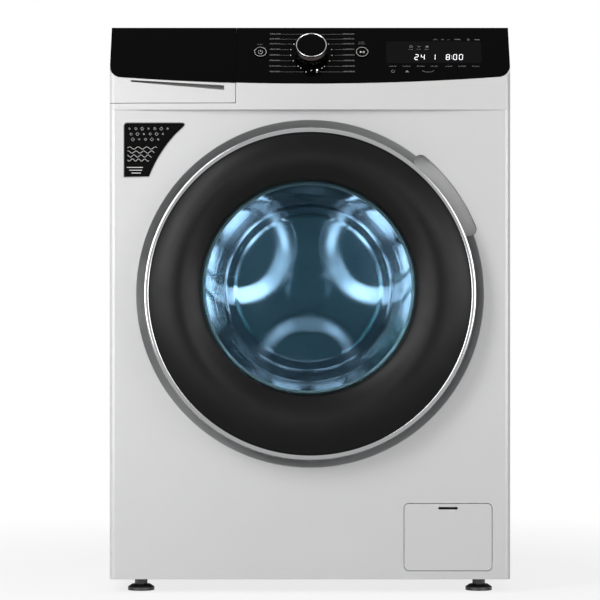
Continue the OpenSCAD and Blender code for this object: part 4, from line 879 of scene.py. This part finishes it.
def makeButtonPrint(side, body):
    # ring and plain symbol on the key, which stands two millimetres proud; the label is on the fascia
    shape = buttonShape
    name = "power" if side < 0 else "start"
    x, v = side * shape["x"], shape["v"]
    rim = Print(onFascia, shape["rimLift"], shape["ink"])
    rim.ring(x, v, shape["ring"], shape["ringLine"], 64)
    rim.finish(name + "Ring", inkWhite, body)
    face = Print(onFascia, shape["faceLift"], shape["ink"])
    if side < 0:
        face.ring(x, v - 0.3, 3.3, 0.45, 28, 125, 290)
        face.stroke([(x, v + 0.4), (x, v + 4.0)], 0.45)
    else:
        face.fill([(x - 3.2, v - 2), (x + 0.2, v), (x - 3.2, v + 2)])
        face.bar(x + 1.6, v, 0.7, 4)
        face.bar(x + 3.2, v, 0.7, 4)
    face.finish(name + "Symbol", inkWhite, body)
    label = Print(onFascia, *inkLayer)
    for n, (rise, length) in enumerate(shape[name + "Label"]):
        label.words(x - length / 2, v + rise, length, shape["labelHeight"], n + 5)
    label.finish(name + "Label", inkGrey, "root")


segments = {"a": ((0, 2), (1, 2)), "b": ((1, 2), (1, 1)), "c": ((1, 1), (1, 0)), "d": ((0, 0), (1, 0)),
            "e": ((0, 1), (0, 0)), "f": ((0, 2), (0, 1)), "g": ((0, 1), (1, 1))}
digits = {"0": "abcdef", "1": "bc", "2": "abged", "4": "fgbc", "8": "abcdefg"}
displayShape = {  # in mm from the knob's axis
    "left": 113.0, "right": 256.0, "low": -15.5, "high": 26.5, "corner": 2,
    "figures": (("2", 155.5), ("4", 164.8), ("1", 181.0), ("8", 202.6), ("0", 213.4), ("0", 222.2)),
    "figureLow": -9, "figureWidth": 4.8, "figureStep": 5.0, "lean": 0.3, "figureLine": 0.9, "figureGap": 0.5,
    "colonX": 211.0, "colonHeights": (-6.0, -2.0), "colonDot": 0.5,
    "signHeight": 16.4, "signLabelHeight": 10.4, "line": 0.5,
    "topLabels": ((187, 7), (198, 6), (208, 4), (220, 9)), "topHeight": 29.2,
    "keyLabels": (122.4, 143.4, 164.4, 184.8, 206.4, 226.6, 246.8), "keyHeight": -22.8, "keyLength": 11.5,
}


def makeDisplay():
    # smoked window with lit figures
    shape = displayShape
    left, right, low, high = shape["left"], shape["right"], shape["low"], shape["high"]
    window = Print(onFascia, 0.02, 0.1)
    window.fill(rounded([(a, b, shape["corner"]) for a, b in
                         ((left, low), (right, low), (right, high), (left, high))]))
    window.finish("displayWindow", smokedWindow(), "root")
    lit = Print(onFascia, 0.13, 0.1)
    for figure, x in shape["figures"]:
        for name in digits[figure]:
            start, end = [Vector((x + a * shape["figureWidth"] + b * shape["lean"],
                                  shape["figureLow"] + b * shape["figureStep"])) for a, b in segments[name]]
            way = (end - start).normalized() * shape["figureGap"]
            lit.stroke([tuple(start + way), tuple(end - way)], shape["figureLine"])
    for v in shape["colonHeights"]:
        lit.dot(shape["colonX"], v, shape["colonDot"])
    lit.finish("displayDigits", digitGlow, "root")


def makeDisplaySigns():
    # rows of small plain signs in and round the window
    shape = displayShape
    sign = Print(onFascia, 0.13, 0.1)
    v = shape["signHeight"]
    sign.ring(150.3, v, 1.9, 0.7, 24)
    sign.words(146.8, shape["signLabelHeight"], 7, 1.9, 1)
    sign.stroke([(160.3, v + 1.4), (162.3, v - 1.4), (164.3, v + 1.4)], 0.7)
    sign.words(158.8, shape["signLabelHeight"], 7, 1.9, 2)
    sign.fill([(172.4, v - 1.5), (176.4, v - 1.5), (176.4, v + 1.5), (172.4, v + 1.5)])
    sign.words(170.9, shape["signLabelHeight"], 7, 1.9, 3)
    for x, length in shape["topLabels"]:
        sign.words(x - 2, shape["topHeight"], length, 2.6, x)
    sign.bar(220, 31.0, 9, shape["line"])
    sign.ring(237, 30.2, 1.6, shape["line"], 20)
    sign.bar(250, 30.0, 8, 1.1)
    for n, x in enumerate(shape["keyLabels"]):
        sign.words(x - 5.5, shape["keyHeight"], shape["keyLength"], 2.3, n)
    sign.ring(122.2, -31.5, 2.4, shape["line"], 24)
    sign.fill([(140.6, -33.4), (146.2, -33.4), (143.4, -29.2)])
    sign.stroke([(166, -30.4), (171, -33.0), (179, -33.0), (184, -30.4)], shape["line"])
    sign.finish("displaySigns", inkGrey, "root")


knobShape = {
    "top": 24.4, "cap": 23,  # height and radius of the cap, in mm
    "ribDepth": 0.25 * mm, "plainTop": 6 * mm,  # the ribs end this far below the top
    "skirtFoot": [(0, 0.5, 0), (18, 0.5, 0.5), (18, 5, 1), (25, 6.5, 1.5)],  # from the axis and the fascia
    "skirtTop": [(1.4, -8, 3), (-1.2, -3.4, 1)],  # from the cap's radius and top
    "skirtCentre": [(0, -3.4, 0)],
    "rim": [(-1.5, -3.3, 0.3), (0, -3.3, 0.6), (0, -0.6, 0.6), (-0.7, 0, 0.5), (-1.5, -0.8, 0.3)],
    "faceLow": [(0, -3.3, 0)], "faceEdge": [(-1.6, -3.3, 0.2), (-1.6, -1.2, 0.6), (-5, -0.9, 2)],
    "faceHigh": [(0, -1.3, 0)],
    "markInset": 5.5, "markLine": 0.25, "lampPlace": (8.6, -29.2), "lampRadius": 1.4,
}


def makeKnob():
    # dark cap in a thin chrome rim on a bronze-toned skirt with fine ribs
    shape = knobShape
    top, cap = shape["top"] * mm, shape["cap"] * mm

    def turnedPiece(name, corners, arcSteps, material, steps=144, ribs=0.0, smoothAngle=40):
        profile = rounded(corners, arcSteps)
        points = []
        for k in range(steps):
            angle = 2 * math.pi * k / steps
            for radius, h in profile:
                cut = ribs * (k % 2) if h < top - shape["plainTop"] else 0
                r = max(radius - cut, 0)
                points.append(onFascia(r * math.cos(angle), r * math.sin(angle), h))
        mesh = newMesh(name, points, sectionFaces(steps, len(profile)), smoothAngle)
        return newPiece(name, mesh, material, "knob")

    skirt = cornersFrom(0, 0, shape["skirtFoot"]) + cornersFrom(cap, top, shape["skirtTop"])
    skirt += cornersFrom(0, top, shape["skirtCentre"])
    skirtPiece = turnedPiece("knobSkirt", skirt, 6, bronzeChrome(), 180, shape["ribDepth"], 30)
    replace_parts(skirtPiece, "programme_knob")
    turnedPiece("knobRim", cornersFrom(cap, top, shape["rim"]), 5, looks["chrome_trim"])
    face = cornersFrom(0, top, shape["faceLow"]) + cornersFrom(cap, top, shape["faceEdge"])
    face += cornersFrom(0, top, shape["faceHigh"])
    turnedPiece("knobFace", face, 5, looks["black_gloss"])
    mark = Print(onFascia, shape["top"] - 1.25, 0.3)
    mark.ring(0, 0, shape["cap"] - shape["markInset"], shape["markLine"], 96)
    mark.finish("knobRing", inkGrey, "knob")
    lit = Print(onFascia, 0.2, 0.3)  # lamp of the chosen programme
    lit.dot(*shape["lampPlace"], shape["lampRadius"])
    lit.finish("programmeLamp", digitGlow, "root")


drawerShape = {
    "plate": 3.66 * mm, "proud": 0.05 * mm, "corner": 19 * mm, "bow": 8 * mm, "bowHalf": 292 * mm,
    "slack": 0.6 * mm, "seam": 0.35 * mm, "edgeSpans": 20, "cornerSpans": 12,
}


def makeDrawerPlate(name, grow):
    # black plate over the drawer: sloping face, lower edge on the crease, one round corner
    shape = drawerShape
    low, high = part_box("drawer_front")
    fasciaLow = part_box("control_fascia")[0]
    slope = fasciaOut.z / -fasciaOut.y
    rise = shape["bow"] / slope

    def edgeHeight(x):
        return fasciaLow.z + rise * (x / shape["bowHalf"]) ** 2 - grow

    left, top = low.x - grow, high.z + grow
    right = fasciaLow.x - shape["seam"] + 2 * grow
    corner = shape["corner"]
    outline = [(right, top), (right, edgeHeight(right))]
    spans = shape["edgeSpans"]
    outline += [(x, edgeHeight(x)) for x in [right + (left + corner - right) * k / spans
                                             for k in range(1, spans + 1)]]
    middleX, middleZ = left + corner, edgeHeight(left + corner) + corner
    turns = shape["cornerSpans"]
    outline += [(middleX - corner * math.sin(a), middleZ - corner * math.cos(a))
                for a in [math.radians(90 * k / turns) for k in range(1, turns + 1)]]
    outline.append((left, top))
    points = []
    for depth in (-shape["proud"] - 8 * grow, shape["plate"] + grow * 0.1):
        points += [(x, fasciaOrigin.y + (z - fasciaOrigin.z) * slope + depth, z) for x, z in outline]
    count = len(outline)
    faces = [tuple(range(count)), tuple(range(2 * count - 1, count - 1, -1))]
    faces += [(k, k + count, (k + 1) % count + count, (k + 1) % count) for k in range(count)]
    return newMesh(name, points, faces, 30)


def makeDrawerFront():
    # the moulded front with a seat cut for the plate, and the plate itself
    body = nodes["drawer_front"].data.copy()
    body.name = "drawerBody"
    body.materials.clear()
    bm = bmesh.new()
    bm.from_mesh(body)
    bmesh.ops.remove_doubles(bm, verts=bm.verts, dist=1e-6)
    bm.to_mesh(body)
    bm.free()
    if "custom_normal" in body.attributes:
        body.attributes.remove(body.attributes["custom_normal"])
    whole = bpy.data.objects.new("drawerWhole", body)
    cutter = bpy.data.objects.new("drawerCutter", makeDrawerPlate("drawerCutter", drawerShape["slack"]))
    for piece in (whole, cutter):
        collection.objects.link(piece)
    recess = whole.modifiers.new("seat", "BOOLEAN")
    recess.operation = "DIFFERENCE"
    recess.solver = "EXACT"
    recess.object = cutter
    seated = bpy.data.meshes.new_from_object(whole.evaluated_get(bpy.context.evaluated_depsgraph_get()))
    for piece in (whole, cutter):
        bpy.data.objects.remove(piece)
    seated.materials.clear()
    seated.set_sharp_from_angle(angle=math.radians(30))
    front = newPiece("drawerBody", seated, looks["white_plastic"], "drawer")
    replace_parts(front, "drawer_front")
    newPiece("drawerPlate", makeDrawerPlate("drawerPlate", 0), looks["black_gloss"], "drawer")


makeDrawerFront()
makeProgrammeScale()
makeButtonPrint(-1, "power_key")
makeButtonPrint(1, "start_key")
makeDisplay()
makeDisplaySigns()
makeKnob()
print("fascia dressed")


# sticker beside the door, with a plain wave-and-grid motif

stickerShape = {  # in mm, on the front panel
    "left": -278.7, "top": 703.0, "low": 621.2, "tip": -182.3,
    "arcX": -57.7, "arcZ": 552.2, "arcRadius": 195.6, "arcFrom": 136.5, "arcTo": 159.1, "arcSpans": 16,
    "footCorner": 1.5, "tipCorner": 4.5, "topCorner": 6.0, "edgeShadow": 1.1,
    "squareRows": 3, "squaresInRow": 7, "squaresX": -270, "squaresZ": 694, "squareStep": 9.5, "rowStep": 8,
    "waves": 4, "waveX": -273, "waveZ": 665, "waveStep": 6, "waveLength": 44, "waveHeight": 1.8,
    "bars": 3, "barX": -262, "barZ": 636, "barStep": 4.2, "barLength": 24,
}


def makeSticker():
    s = stickerShape
    outline = [(s["left"], s["low"], s["footCorner"])]
    for k in range(s["arcSpans"] + 1):
        angle = math.radians(s["arcTo"] + (s["arcFrom"] - s["arcTo"]) * k / s["arcSpans"])
        outline.append((s["arcX"] + s["arcRadius"] * math.cos(angle),
                        s["arcZ"] + s["arcRadius"] * math.sin(angle), s["footCorner"] if k == 0 else 0))
    outline += [(s["tip"], s["top"], s["tipCorner"]), (s["left"], s["top"], s["topCorner"])]
    line = [(p.x, p.y) for p in rounded(outline, 6)]
    sheet = Print(onFront, 0.02, 0.25)
    sheet.fill(line)
    sheet.finish("stickerFilm", stickerFilm(), "root")
    # grey line round the film's outline: a painted soft shadow that the sticker's edge throws on the panel
    edgeShadow = Print(onFront, 0.1, 0.25)
    edgeShadow.stroke(line, s["edgeShadow"], True)
    edgeShadow.finish("stickerEdgeShadow", inkPale, "root")
    # rows of small squares, waves below them and short bars at the foot
    ink = Print(onFront, 0.28, 0.12)
    for row in range(s["squareRows"]):
        for column in range(s["squaresInRow"] - row):
            x = s["squaresX"] + column * s["squareStep"] + row * 2.5
            z = s["squaresZ"] - row * s["rowStep"]
            size = 1.3 + (column + row) % 3 * 0.6
            ink.stroke([(x - size, z), (x, z - size), (x + size, z), (x, z + size)], 0.45, True)
    for wave in range(s["waves"]):
        reach, z = s["waveLength"] - wave * 4, s["waveZ"] - wave * s["waveStep"]
        ink.stroke([(s["waveX"] + reach * t / 24, z + s["waveHeight"] * math.sin(t * 0.9 + wave))
                    for t in range(25)], 0.6)
    for n in range(s["bars"]):
        ink.bar(s["barX"] + n, s["barZ"] - n * s["barStep"], s["barLength"] - n * 5, 1.1)
    ink.finish("stickerMotif", inkWhite, "root")


makeSticker()
print("sticker made")


# soft pieces between the cabinet and the tub

springShape = {
    "wire": 2 * mm, "radius": 10 * mm, "turns": 10, "body": 19 * mm,  # ends of the coil from the box
    "hook": 5.3 * mm, "eye": 7.3 * mm, "hookSweep": 250, "stepsPerTurn": 24, "taperSteps": 18,
}


def makeSprings():
    # coil with narrowed ends and an open hook at the foot and at the head
    shape = springShape
    low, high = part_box("suspension_springs")
    wire, radius = shape["wire"], shape["radius"]
    middleY = (low.y + high.y) / 2
    z0, z1 = low.z + shape["body"], high.z - shape["body"]
    count = shape["turns"] * shape["stepsPerTurn"]

    def hook(x, z, start, reach):
        angles = [math.radians(start - shape["hookSweep"] * k / 25) for k in range(26)]
        return [Vector((x + reach * math.cos(a), middleY, z + reach * math.sin(a))) for a in angles]

    for n, x in enumerate((low.x + radius + wire, high.x - radius - wire)):
        line = hook(x, low.z + shape["eye"], 330, shape["hook"])
        for k in range(count + 1):
            angle = 2 * math.pi * k / shape["stepsPerTurn"]
            r = wire + (radius - wire) * min(1, k / shape["taperSteps"], (count - k) / shape["taperSteps"])
            line.append(Vector((x + r * math.cos(angle), middleY + r * math.sin(angle),
                                z0 + (z1 - z0) * k / count)))
        line += hook(x, high.z - shape["eye"], 280, -shape["hook"])
        spring = newPiece("spring%d" % (n + 1), tubeMesh("spring", line, wire, 10), looks["spring_steel"],
                          None)
        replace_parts(spring, "suspension_springs")
        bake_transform(spring)


sealShape = {
    "lip": 159 * mm, "cuff": 176.5 * mm, "frontGrip": 10 * mm, "backGrip": 8 * mm,  # ends that don't flex
    "lipOutside": [(0, 14, 1), (0, 1, 2), (6, 0, 3)],  # from the lip and the seal's front
    "beadOutside": [(-3, 0, 2), (0, 3, 2), (-0.5, 12, 3)],  # from the bead's radius and the front
    "foldOutside": [(5, 20, 3)],  # from the cuff and the front
    "neck": [(4, -4, 2), (3.5, 0, 1), (0, 0, 0.5)],  # from the cuff and the seal's back
    "foldInside": [(0, 18, 2)], "beadInside": [(-4, 9, 2), (-4, 3.4, 2)],
    "lipInside": [(4, 3.6, 2), (3, 14, 1)],
}


def makeSeal():
    # bellows with a bead on the front panel and a cuff on the tub's neck
    shape = sealShape
    low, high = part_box("door_seal")
    bead, lip, cuff = (high.x - low.x) / 2, shape["lip"], shape["cuff"]
    corners = []
    for radius, y, side in ((lip, low.y, "lipOutside"), (bead, low.y, "beadOutside"),
                            (cuff, low.y, "foldOutside"), (cuff, high.y, "neck"), (cuff, low.y, "foldInside"),
                            (bead, low.y, "beadInside"), (lip, low.y, "lipInside")):
        corners += cornersFrom(radius, y, shape[side])
    mesh = latheMesh("doorSeal", rounded(corners), drumAxis, 160, 60)
    seal = newPiece("doorSeal", mesh, looks["seal_rubber"], None)
    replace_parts(seal, "door_seal")
    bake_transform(seal)


hoseShape = {
    "fillWall": 1.5 * mm, "fillRipple": 1.2 * mm, "fillPitch": 7 * mm, "fillEnds": 6 * mm,
    "sumpRadius": 19 * mm, "sumpWall": 2 * mm, "sumpRipple": 1.4 * mm, "sumpPitch": 9 * mm, "sumpEnd": 4 * mm,
}


def makeFillHose():
    shape = hoseShape
    low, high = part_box("fill_hose")
    middle = (low + high) / 2
    line = [Vector((middle.x, middle.y, low.z + (high.z - low.z) * k / 60)) for k in range(61)]
    mesh = tubeMesh("fillHose", line, (high.x - low.x) / 2 - shape["fillWall"], 32, shape["fillRipple"],
                    shape["fillPitch"])
    hose = newPiece("fillHose", mesh, looks["hose_rubber"], None)
    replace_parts(hose, "fill_hose")
    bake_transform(hose)


def makeSumpHose():
    # down from the tub, forward over the base and sideways into the pump
    shape = hoseShape
    low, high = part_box("sump_hose")
    radius = shape["sumpRadius"]
    x0, x1, z0 = low.x + radius, high.x, low.z + radius
    far, near = high.y - radius, low.y + radius
    corners = [(x0, far, high.z), (x0, far, z0 + 30 * mm), (x0, far - 12 * mm, z0 + 6 * mm),
               (x0, far - 45 * mm, z0), (x0, near + 45 * mm, z0), (x0 + 10 * mm, near + 10 * mm, z0),
               (x0 + 45 * mm, near, z0), (x1, near, z0)]
    line = smoothLine([Vector(place) for place in corners], 16)
    mesh = tubeMesh("sumpHose", line, radius - shape["sumpWall"], 32, shape["sumpRipple"], shape["sumpPitch"])
    hose = newPiece("sumpHose", mesh, looks["hose_rubber"], None)
    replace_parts(hose, "sump_hose")
    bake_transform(hose)


makeSprings()
makeSeal()
makeFillHose()
makeSumpHose()
print("springs, seal and hoses made")


# studio

studio = {
    "lens": 170.1, "cameraPlace": (-0.015, -4.5, 0.4377), "worldForObject": 0.37,
    "floorSize": 14.0, "floorTone": (0.74, 0.74, 0.74, 1), "fadeFrom": 0.45, "fadeTo": 1.3, "fadeLeast": 0.8,
    # lamps as name, place, aim, size and power
    "frontBox": ("frontBox", (-1.0, -4.1, 1.5), (0, -0.2, 0.45), (1.6, 1.6), 8),
    "boxes": (("leftBox", (-1.25, -1.6, 1.55), (-0.1, -0.2, 0.5), (0.6, 1.4), 27),
              ("rightBox", (1.9, -1.6, 1.0), (0.25, -0.2, 0.5), (0.3, 1.6), 8),
              ("topBox", (0, -0.4, 3.0), (0, 0, 0.5), (2.0, 1.2), 6)),
    "strips": (("strip", (-2.3, -3.2, 0.6), (-0.1, -0.25, 0.45), (3.2, 1.9), 140),
               ("strip", (2.3, -3.2, 0.6), (0.1, -0.25, 0.45), (3.2, 1.9), 120)),
    # x and z from the drum's axis, width, height and power
    "drumLamps": ((-0.15, 0.14, 0.08, 0.08, 0.8), (0.15, 0.14, 0.08, 0.08, 0.8),
                  (-0.2, 0.03, 0.03, 0.18, 0.9), (0.2, 0.03, 0.03, 0.18, 0.9), (0, -0.2, 0.26, 0.03, 0.5)),
    "drumLampY": -0.13, "drumAimY": 0.12, "drumAimShare": 0.2,
}


def seenDirectly(tree):
    # 1 for camera, glass and gloss rays, 0 for the light that falls on the object
    path = tree.nodes.new("ShaderNodeLightPath")
    seen = addMath(tree, "MAXIMUM", path.outputs["Is Camera Ray"], path.outputs["Is Transmission Ray"])
    return addMath(tree, "MAXIMUM", seen, path.outputs["Is Glossy Ray"])


def makeFloor():
    # pale floor that fades into the white background away from the machine
    half = studio["floorSize"] / 2
    corners = [(-half, -half, 0), (half, -half, 0), (half, half, 0), (-half, half, 0)]
    mesh = newMesh("floor", corners, [(0, 1, 2, 3)])
    floor = bpy.data.objects.new("floor", mesh)
    collection.objects.link(floor)
    made = bpy.data.materials.new("paleFloor")
    made.use_nodes = True
    tree = made.node_tree
    link = tree.links.new
    shader = tree.nodes["Principled BSDF"]
    shader.inputs["Base Color"].default_value = studio["floorTone"]
    shader.inputs["Roughness"].default_value = 0.9
    glow = tree.nodes.new("ShaderNodeEmission")
    glow.inputs["Strength"].default_value = 1.0
    place = tree.nodes.new("ShaderNodeTexCoord")
    distance = tree.nodes.new("ShaderNodeVectorMath")
    distance.operation = "LENGTH"
    link(place.outputs["Object"], distance.inputs[0])
    span = tree.nodes.new("ShaderNodeMapRange")
    for label, value in (("From Min", "fadeFrom"), ("From Max", "fadeTo"), ("To Min", "fadeLeast")):
        span.inputs[label].default_value = studio[value]
    link(distance.outputs["Value"], span.inputs["Value"])
    mix = tree.nodes.new("ShaderNodeMixShader")
    link(addMath(tree, "MULTIPLY", seenDirectly(tree), span.outputs["Result"]), mix.inputs["Fac"])
    link(shader.outputs["BSDF"], mix.inputs[1])
    link(glow.outputs["Emission"], mix.inputs[2])
    link(mix.outputs["Shader"], tree.nodes["Material Output"].inputs["Surface"])
    mesh.materials.append(made)


def makeWorld():
    # white for the camera, gloss and glass; a plain level for what lights the object
    world = bpy.data.worlds.new("studio")
    bpy.context.scene.world = world
    world.use_nodes = True
    tree = world.node_tree
    background = tree.nodes["Background"]
    background.inputs["Color"].default_value = (1, 1, 1, 1)
    tree.links.new(blendValue(tree, seenDirectly(tree), studio["worldForObject"], 1.0),
                   background.inputs["Strength"])


def addSoftbox(name, place, target, size, power):
    lamp = bpy.data.lights.new(name, "AREA")
    lamp.shape = "RECTANGLE"
    lamp.size, lamp.size_y = size
    lamp.energy = power
    holder = bpy.data.objects.new(name, lamp)
    collection.objects.link(holder)
    holder.location = place
    holder.rotation_euler = (Vector(target) - Vector(place)).to_track_quat("-Z", "Y").to_euler()
    return holder


def makeLamps():
    front = addSoftbox(*studio["frontBox"])
    front.visible_glossy = False  # kept out of the door glass
    front.visible_transmission = False
    for row in studio["boxes"]:
        addSoftbox(*row)
    for row in studio["strips"]:  # only the glossy finishes pick these up
        strip = addSoftbox(*row)
        strip.visible_diffuse = False
        strip.visible_camera = False
    share = studio["drumAimShare"]
    for x, z, width, height, power in studio["drumLamps"]:  # just inside the mouth, mirrored by the steel
        lamp = addSoftbox("drumLamp", (drumAxis.x + x, studio["drumLampY"], drumAxis.z + z),
                          (drumAxis.x + x * share, studio["drumAimY"], drumAxis.z + z * share),
                          (width, height), power)
        lamp.visible_camera = False
        lamp.visible_transmission = False


def makeCamera():
    data = bpy.data.cameras.new("camera")
    data.lens = studio["lens"]
    data.sensor_width = 36
    data.clip_end = 50
    camera = bpy.data.objects.new("camera", data)
    collection.objects.link(camera)
    camera.location = studio["cameraPlace"]
    camera.rotation_euler = (math.radians(90), 0, 0)
    bpy.context.scene.camera = camera


makeFloor()
makeWorld()
makeLamps()
makeCamera()
bpy.context.scene.view_settings.view_transform = "Standard"
print("studio ready")
